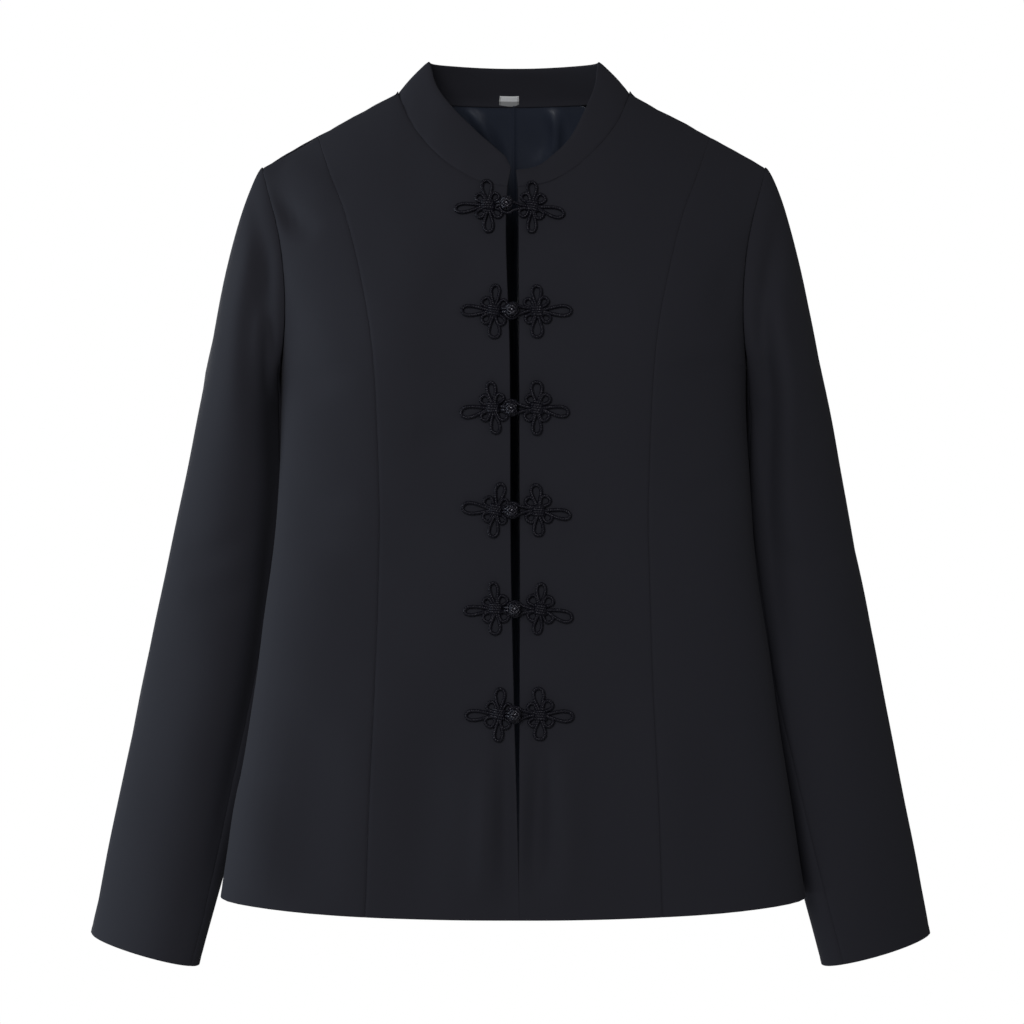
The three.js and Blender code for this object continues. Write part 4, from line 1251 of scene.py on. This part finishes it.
def along_paths(name, paths, tree, inputs):
    """Runs a node tree over paths given in millimetres and keeps the plain mesh that it makes."""
    lines = bpy.data.meshes.new(name + "_paths")
    vertices, edges = [], []
    for path in paths:
        first = len(vertices)
        vertices += [tuple(p) for p in np.asarray(path) * MM]
        edges += [(i, i + 1) for i in range(first, len(vertices) - 1)]
    lines.from_pydata(vertices, edges, [])
    carrier = bpy.data.objects.new(name + "_carrier", lines)
    bpy.context.scene.collection.objects.link(carrier)
    modifier = carrier.modifiers.new("shape", "NODES")
    modifier.node_group = tree
    for item in tree.interface.items_tree:
        if item.in_out == "INPUT" and item.name in inputs:
            modifier[item.identifier] = inputs[item.name]
    carrier.update_tag()
    bpy.context.view_layer.update()
    evaluated = carrier.evaluated_get(bpy.context.evaluated_depsgraph_get())
    mesh = bpy.data.meshes.new_from_object(evaluated)
    mesh.name = name
    carrier.modifiers.remove(modifier)
    bpy.data.objects.remove(carrier)
    bpy.data.meshes.remove(lines)
    bpy.data.node_groups.remove(tree)
    if not len(mesh.polygons):
        raise RuntimeError(f"{name} came out empty")
    piece = bpy.data.objects.new(name, mesh)
    bpy.context.scene.collection.objects.link(piece)
    return piece


def on_front(x, z, lift):
    """Points over the front, x and z on the body, lifted off it."""
    turn = turn_at(x, z)
    return body_point(turn, z) + body_normal(turn, z) * (lift + front_height(x, z))[..., None]


TEARDROP_WIDEST = 1.54  # brings a loop's greatest swing to its given width


def teardrop(loop, cord):
    """One loop of a flower, out from its middle and back, as (away, up, lift)."""
    t = np.linspace(0, 2 * np.pi, 29)
    out = mix(1.2, loop["tip"] - cord, (1 - np.cos(t)) / 2)
    swing = loop["wide"] * np.sin(t) * (1 - np.cos(t)) / 2 * TEARDROP_WIDEST
    angle = math.radians(loop["towards"])
    lift = cord * (1.0 + 0.5 * np.exp(-((out / 3.0) ** 2)))
    return np.stack([
        out * math.cos(angle) - swing * math.sin(angle),
        out * math.sin(angle) + swing * math.cos(angle),
        lift,
    ], -1)


def binding():
    """The turns that bind a flower's middle, one above the other."""
    t = np.linspace(0, 2 * np.pi * BINDING["turns"], 22 * BINDING["turns"])
    rise = (t / (2 * np.pi) - BINDING["turns"] / 2) * BINDING["pitch"]
    return np.stack([
        BINDING["half_width"] * np.cos(t),
        rise,
        BINDING["lift"] + BINDING["half_depth"] * np.sin(t),
    ], -1)


def laid(path, x, z, tilt, mirrored):
    """A flat path placed on the front, turned by its tilt, its away side to the wearer's right if mirrored."""
    angle = math.radians(tilt) + (math.pi if mirrored else 0)
    a = path[:, 0] * math.cos(angle) - path[:, 1] * math.sin(angle)
    b = path[:, 0] * math.sin(angle) + path[:, 1] * math.cos(angle)
    return on_front(x + a, z + b, FROG_LIFT + path[:, 2])


def flower_paths(frog, name, cord, draw):
    """A flower's loops and binding, each loop a little different from the next."""
    x, z, tilt, mirrored = frog[name], frog["z"], frog[f"tilt_{name}"], name == "right"
    droop = frog[f"droop_{name}"] * (-1 if mirrored else 1)
    paths = []
    for row, loop in enumerate(LOOPS):
        uneven = {
            "towards": loop["towards"] + (droop if row == SIDE_LOOP else draw.uniform(-6, 6)),
            "tip": loop["tip"] * draw.uniform(0.95, 1.04),
            "wide": loop["wide"] * draw.uniform(0.85, 1.15),
        }
        paths.append(laid(teardrop(uneven, cord), x, z, tilt, mirrored))
    paths.append(laid(binding(), x, z, tilt, mirrored))
    return paths


def eye_path(flower_x, knot_x, z, tilt, cord):
    """The loop that holds the knot, from its flower round the knot's shank and back."""
    reach = flower_x - knot_x
    t = np.linspace(-0.80 * np.pi, 0.80 * np.pi, 31)
    ring = np.stack([
        -EYE_RADIUS * np.cos(t) * 1.05,
        EYE_RADIUS * np.sin(t),
        1.3 * cord + 1.6 * np.exp(-((t / 0.7) ** 2)),
    ], -1)
    ends = [np.array([[reach * 0.62, s * 1.2, cord * 1.4], [reach, s * 0.9, cord]]) for s in (-1, 1)]
    path = np.vstack([ends[0][::-1], ring, ends[1]])
    return on_front(knot_x + path[:, 0], z + path[:, 1] + math.tan(math.radians(tilt)) * path[:, 0],
                    FROG_LIFT + path[:, 2])


def knot_paths(flower_x, knot_x, z, radius, cord):
    """The ball of woven turns, and the doubled cord that runs from it to its flower."""
    centre = on_front(np.array([knot_x]), np.array([z]), np.array([KNOT_LIFT]))[0]
    t = np.linspace(0, 2 * np.pi, 241)
    longitude, latitude = KNOT_LEADS * t, math.radians(KNOT_REACH) * np.sin(KNOT_BIGHTS * t)
    distance = radius - cord + 0.45 * np.cos(2 * KNOT_BIGHTS * t)
    ball = np.stack([
        np.sin(latitude), np.cos(latitude) * np.cos(longitude), np.cos(latitude) * np.sin(longitude),
    ], -1) * distance[:, None] + centre
    shank = []
    for offset in (-1, 1):
        x = np.linspace(knot_x - 0.75 * radius, flower_x + 1.0, 9)
        share = (x - x[0]) / (x[-1] - x[0])
        lift = mix(KNOT_LIFT - 0.6, 1.2 * cord, smooth_step(share, 0.0, 0.8))
        shank.append(on_front(x, z + offset * cord * 0.95 * np.ones_like(x), lift))
    return [ball, *shank], centre


def build_frogs():
    kit = settings()
    cord = kit.cord_thickness / MM / 2
    radius = kit.knot_size / MM / 2
    draw = np.random.default_rng(8)
    sizes = {"Spacing": 0.0007, "Sides": 10}
    for number, frog in enumerate(FROGS, start=1):
        z = frog["z"]
        right = flower_paths(frog, "right", cord, draw)
        left = flower_paths(frog, "left", cord, draw)
        left.append(eye_path(frog["left"], frog["knot"], z, frog["tilt_left"], cord))
        knot, centre = knot_paths(frog["right"], frog["knot"], z, radius, cord)
        for part, paths in (("button_side", right), ("loop_side", left), ("knot", knot)):
            node = f"frog_{number}_{part}"
            is_knot = part == "knot"
            finish = knotting() if is_knot else cording()
            sizes["Radius"] = cord * MM * (KNOT_CORD if is_knot else 1.0)
            piece = along_paths(f"{node}_cord", paths, cord_tree(finish), sizes)
            if is_knot:
                add_core(piece, centre, radius - 1.2 * cord)
            settle(piece, node, finish, "cord")


def add_core(piece, centre, radius):
    """Fills the middle of a knot, behind its turns."""
    mesh = bmesh.new()
    mesh.from_mesh(piece.data)
    made = bmesh.ops.create_icosphere(mesh, subdivisions=2, radius=radius * MM)
    bmesh.ops.translate(mesh, vec=Vector(centre * MM), verts=made["verts"])
    for face in mesh.faces:
        face.smooth = True
    mesh.to_mesh(piece.data)
    mesh.free()


def declare_cloths():
    """Says of every sheet of cloth what size it was cut to and what it hangs on."""
    piece = bpy.data.objects.__getitem__
    for name, side in SIDES.items():
        frog_part = "button_side" if side < 0 else "loop_side"
        frogs = [piece(f"frog_{i}_{frog_part}_cord") for i in range(1, len(FROGS) + 1)]
        if side < 0:
            frogs += [piece(f"frog_{i}_knot_cord") for i in range(1, len(FROGS) + 1)]
        declare(piece(f"{name}_centre_front_cloth"), "hung", [f"{name}_back_cloth"], frogs)
        declare(piece(f"{name}_side_front_cloth"), "hung", [f"{name}_back_cloth"])
        declare(piece(f"{name}_back_cloth"), "hung", [f"{name}_centre_front_cloth"])
        for part in ("top", "under"):
            declare(piece(f"{name}_{part}_sleeve_cloth"), "hung",
                    [f"{name}_side_front_cloth", f"{name}_back_cloth"])
    necks = [f"{name}_{part}_cloth" for name in SIDES for part in ("centre_front", "back")]
    declare(piece("collar_cloth"), "draped", necks)
    declare(piece("collar_facing_cloth"), "draped", ["collar_cloth"])
    declare(piece("back_lining_cloth"), "hung", ["right_back_cloth", "left_back_cloth"])
    declare(piece("neck_label_cloth"), "laid", ["collar_facing_cloth"], [piece("label_stitches")])


# ---------- Stage ----------
CAMERA_PLACE = (-0.0015, -2.25, -0.3175)
CAMERA_FIELD = 0.7834  # width of the view at the shoulder line, in metres
SENSOR = 36.0


def area_light(name, place, target, width, height, power, colour=(1, 1, 1)):
    data = bpy.data.lights.new(name, "AREA")
    data.shape, data.size, data.size_y = "RECTANGLE", width, height
    data.energy, data.color = power, colour
    lamp = bpy.data.objects.new(name, data)
    lamp.location = place
    lamp.rotation_euler = (Vector(target) - Vector(place)).to_track_quat("-Z", "Y").to_euler()
    bpy.context.scene.collection.objects.link(lamp)


def build_stage():
    kit = settings()
    scene = bpy.context.scene
    mesh = bpy.data.meshes.new("floor")
    size, level = 9.0, -3.6
    mesh.from_pydata([(-size, -size, level), (size, -size, level), (size, size, level), (-size, size, level)],
                     [], [(0, 1, 2, 3)])
    floor = bpy.data.objects.new("floor", mesh)
    mesh.materials.append(material(floor_material, "floor_white", (0.86, 0.86, 0.86, 1)))
    scene.collection.objects.link(floor)
    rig.stage(floor)

    middle = (0.0, 0.0, -0.3)
    area_light("key", (-2.75, 0.30, -0.15), middle, 1.4, 2.4, kit.key_power, (0.80, 0.90, 1.0))
    area_light("front_fill", (-0.8, -3.5, 0.6), middle, 1.4, 1.4, kit.fill_power, (0.98, 0.99, 1.0))
    area_light("right_fill", (2.6, -2.2, 0.2), middle, 1.6, 1.6, 0.1 * kit.fill_power, (1.0, 0.98, 0.97))
    area_light("rear_fill", (-0.9, 3.4, 0.6), middle, 2.4, 2.0, kit.fill_power, (0.98, 0.99, 1.0))

    world = bpy.data.worlds.new("studio")
    world.use_nodes = True
    tree = world.node_tree
    tree.nodes.clear()
    seen, soft = (tree.nodes.new("ShaderNodeBackground") for _ in range(2))
    seen.inputs["Color"].default_value = (1, 1, 1, 1)
    seen.inputs["Strength"].default_value = 1.0
    soft.inputs["Color"].default_value = (0.97, 0.98, 1.0, 1)
    soft.inputs["Strength"].default_value = kit.world_level
    path = tree.nodes.new("ShaderNodeLightPath")
    both = tree.nodes.new("ShaderNodeMixShader")
    end = tree.nodes.new("ShaderNodeOutputWorld")
    tree.links.new(path.outputs["Is Camera Ray"], both.inputs[0])
    tree.links.new(soft.outputs[0], both.inputs[1])
    tree.links.new(seen.outputs[0], both.inputs[2])
    tree.links.new(both.outputs[0], end.inputs["Surface"])
    scene.world = world
    scene.view_settings.view_transform = "Standard"
    scene.view_settings.look = "None"

    data = bpy.data.cameras.new("camera")
    data.sensor_width = SENSOR
    data.lens = SENSOR * -CAMERA_PLACE[1] / CAMERA_FIELD
    camera = bpy.data.objects.new("camera", data)
    camera.location = CAMERA_PLACE
    camera.rotation_euler = (math.pi / 2, 0, 0)
    scene.collection.objects.link(camera)
    scene.camera = camera


# ---------- The add-on ----------
def colour_property(name, description, default):
    return bpy.props.FloatVectorProperty(
        name=name, description=description, default=default, size=4, subtype="COLOR", min=0, max=1)


class JacketSettings(bpy.types.PropertyGroup):
    """Sizes and colours of the jacket and levels of its lights."""

    cloth_thickness: bpy.props.FloatProperty(
        name="Cloth", description="Thickness of the suiting", default=0.0014, unit="LENGTH")
    lining_thickness: bpy.props.FloatProperty(
        name="Lining", description="Thickness of the lining", default=0.0008, unit="LENGTH")
    cord_thickness: bpy.props.FloatProperty(
        name="Cord", description="Thickness of the frogs' cord", default=0.0025, unit="LENGTH")
    knot_size: bpy.props.FloatProperty(
        name="Knot", description="Width of a knot button", default=0.0108, unit="LENGTH")
    fold_strength: bpy.props.FloatProperty(
        name="Folds", description="Height of the folds in the cloth", default=1.0, subtype="FACTOR")
    suiting_colour: colour_property("Suiting", "Colour of the jacket's cloth", (0.0098, 0.0116, 0.0210, 1))
    lining_colour: colour_property("Lining colour", "Colour of the lining", (0.034, 0.041, 0.062, 1))
    cord_colour: colour_property("Cord colour", "Colour of the frogs", (0.0070, 0.0068, 0.0112, 1))
    label_colour: colour_property("Label", "Colour of the label's tape", (0.95, 0.96, 0.97, 1))
    key_power: bpy.props.FloatProperty(
        name="Key light", description="Power of the large light at the side", default=42.0, unit="POWER")
    fill_power: bpy.props.FloatProperty(
        name="Fill light", description="Power of the soft light in front", default=46.0, unit="POWER")
    world_level: bpy.props.FloatProperty(
        name="Room light", description="Brightness of the room on the jacket", default=0.12)


def settings():
    return bpy.context.scene.jacket


class JACKET_OT_fronts(bpy.types.Operator):
    """Make the centre and side fronts"""

    bl_idname = "jacket.fronts"
    bl_label = "Fronts"

    def execute(self, context):
        build_fronts()
        return {"FINISHED"}


class JACKET_OT_backs(bpy.types.Operator):
    """Make the two halves of the back"""

    bl_idname = "jacket.backs"
    bl_label = "Backs"

    def execute(self, context):
        build_backs()
        return {"FINISHED"}


class JACKET_OT_lining(bpy.types.Operator):
    """Make the lining of the back"""

    bl_idname = "jacket.lining"
    bl_label = "Lining"

    def execute(self, context):
        build_lining()
        return {"FINISHED"}


class JACKET_OT_sleeves(bpy.types.Operator):
    """Make the top and under sleeves"""

    bl_idname = "jacket.sleeves"
    bl_label = "Sleeves"

    def execute(self, context):
        build_sleeves()
        return {"FINISHED"}


class JACKET_OT_collar(bpy.types.Operator):
    """Make the stand collar and its facing"""

    bl_idname = "jacket.collar"
    bl_label = "Collar"

    def execute(self, context):
        build_collar()
        return {"FINISHED"}


class JACKET_OT_label(bpy.types.Operator):
    """Make the bare label at the back of the neck"""

    bl_idname = "jacket.label"
    bl_label = "Label"

    def execute(self, context):
        build_label()
        return {"FINISHED"}


class JACKET_OT_frogs(bpy.types.Operator):
    """Make the flower frogs and their knot buttons"""

    bl_idname = "jacket.frogs"
    bl_label = "Frogs"

    def execute(self, context):
        build_frogs()
        return {"FINISHED"}


class JACKET_OT_declare(bpy.types.Operator):
    """Say what size each sheet of cloth was cut to"""

    bl_idname = "jacket.declare"
    bl_label = "Cloth sizes"

    def execute(self, context):
        declare_cloths()
        return {"FINISHED"}


class JACKET_OT_stage(bpy.types.Operator):
    """Make the floor, lights and camera"""

    bl_idname = "jacket.stage"
    bl_label = "Stage"

    def execute(self, context):
        build_stage()
        return {"FINISHED"}


OPERATORS = (
    JACKET_OT_fronts, JACKET_OT_backs, JACKET_OT_lining, JACKET_OT_sleeves, JACKET_OT_collar,
    JACKET_OT_label, JACKET_OT_frogs, JACKET_OT_declare, JACKET_OT_stage,
)


class JACKET_PT_panel(bpy.types.Panel):
    bl_idname = "JACKET_PT_panel"
    bl_label = "Tang jacket"
    bl_space_type = "VIEW_3D"
    bl_region_type = "UI"
    bl_category = "Jacket"

    def draw(self, context):
        for name in JacketSettings.__annotations__:
            self.layout.prop(context.scene.jacket, name)
        for operator in OPERATORS:
            self.layout.operator(operator.bl_idname)


CLASSES = (JacketSettings, *OPERATORS, JACKET_PT_panel)


def register():
    for item in CLASSES:
        bpy.utils.register_class(item)
    bpy.types.Scene.jacket = bpy.props.PointerProperty(type=JacketSettings)


def unregister():
    del bpy.types.Scene.jacket
    for item in reversed(CLASSES):
        bpy.utils.unregister_class(item)


def main():
    register()
    for operator in OPERATORS:
        group, name = operator.bl_idname.split(".")
        getattr(getattr(bpy.ops, group), name)()
    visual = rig.bounds()
    with open(SIZES, "w") as file:
        json.dump({"cad": [list(v) for v in CAD_BOX], "visual": [list(v) for v in visual]}, file)


if __name__ == "__main__":
    main()
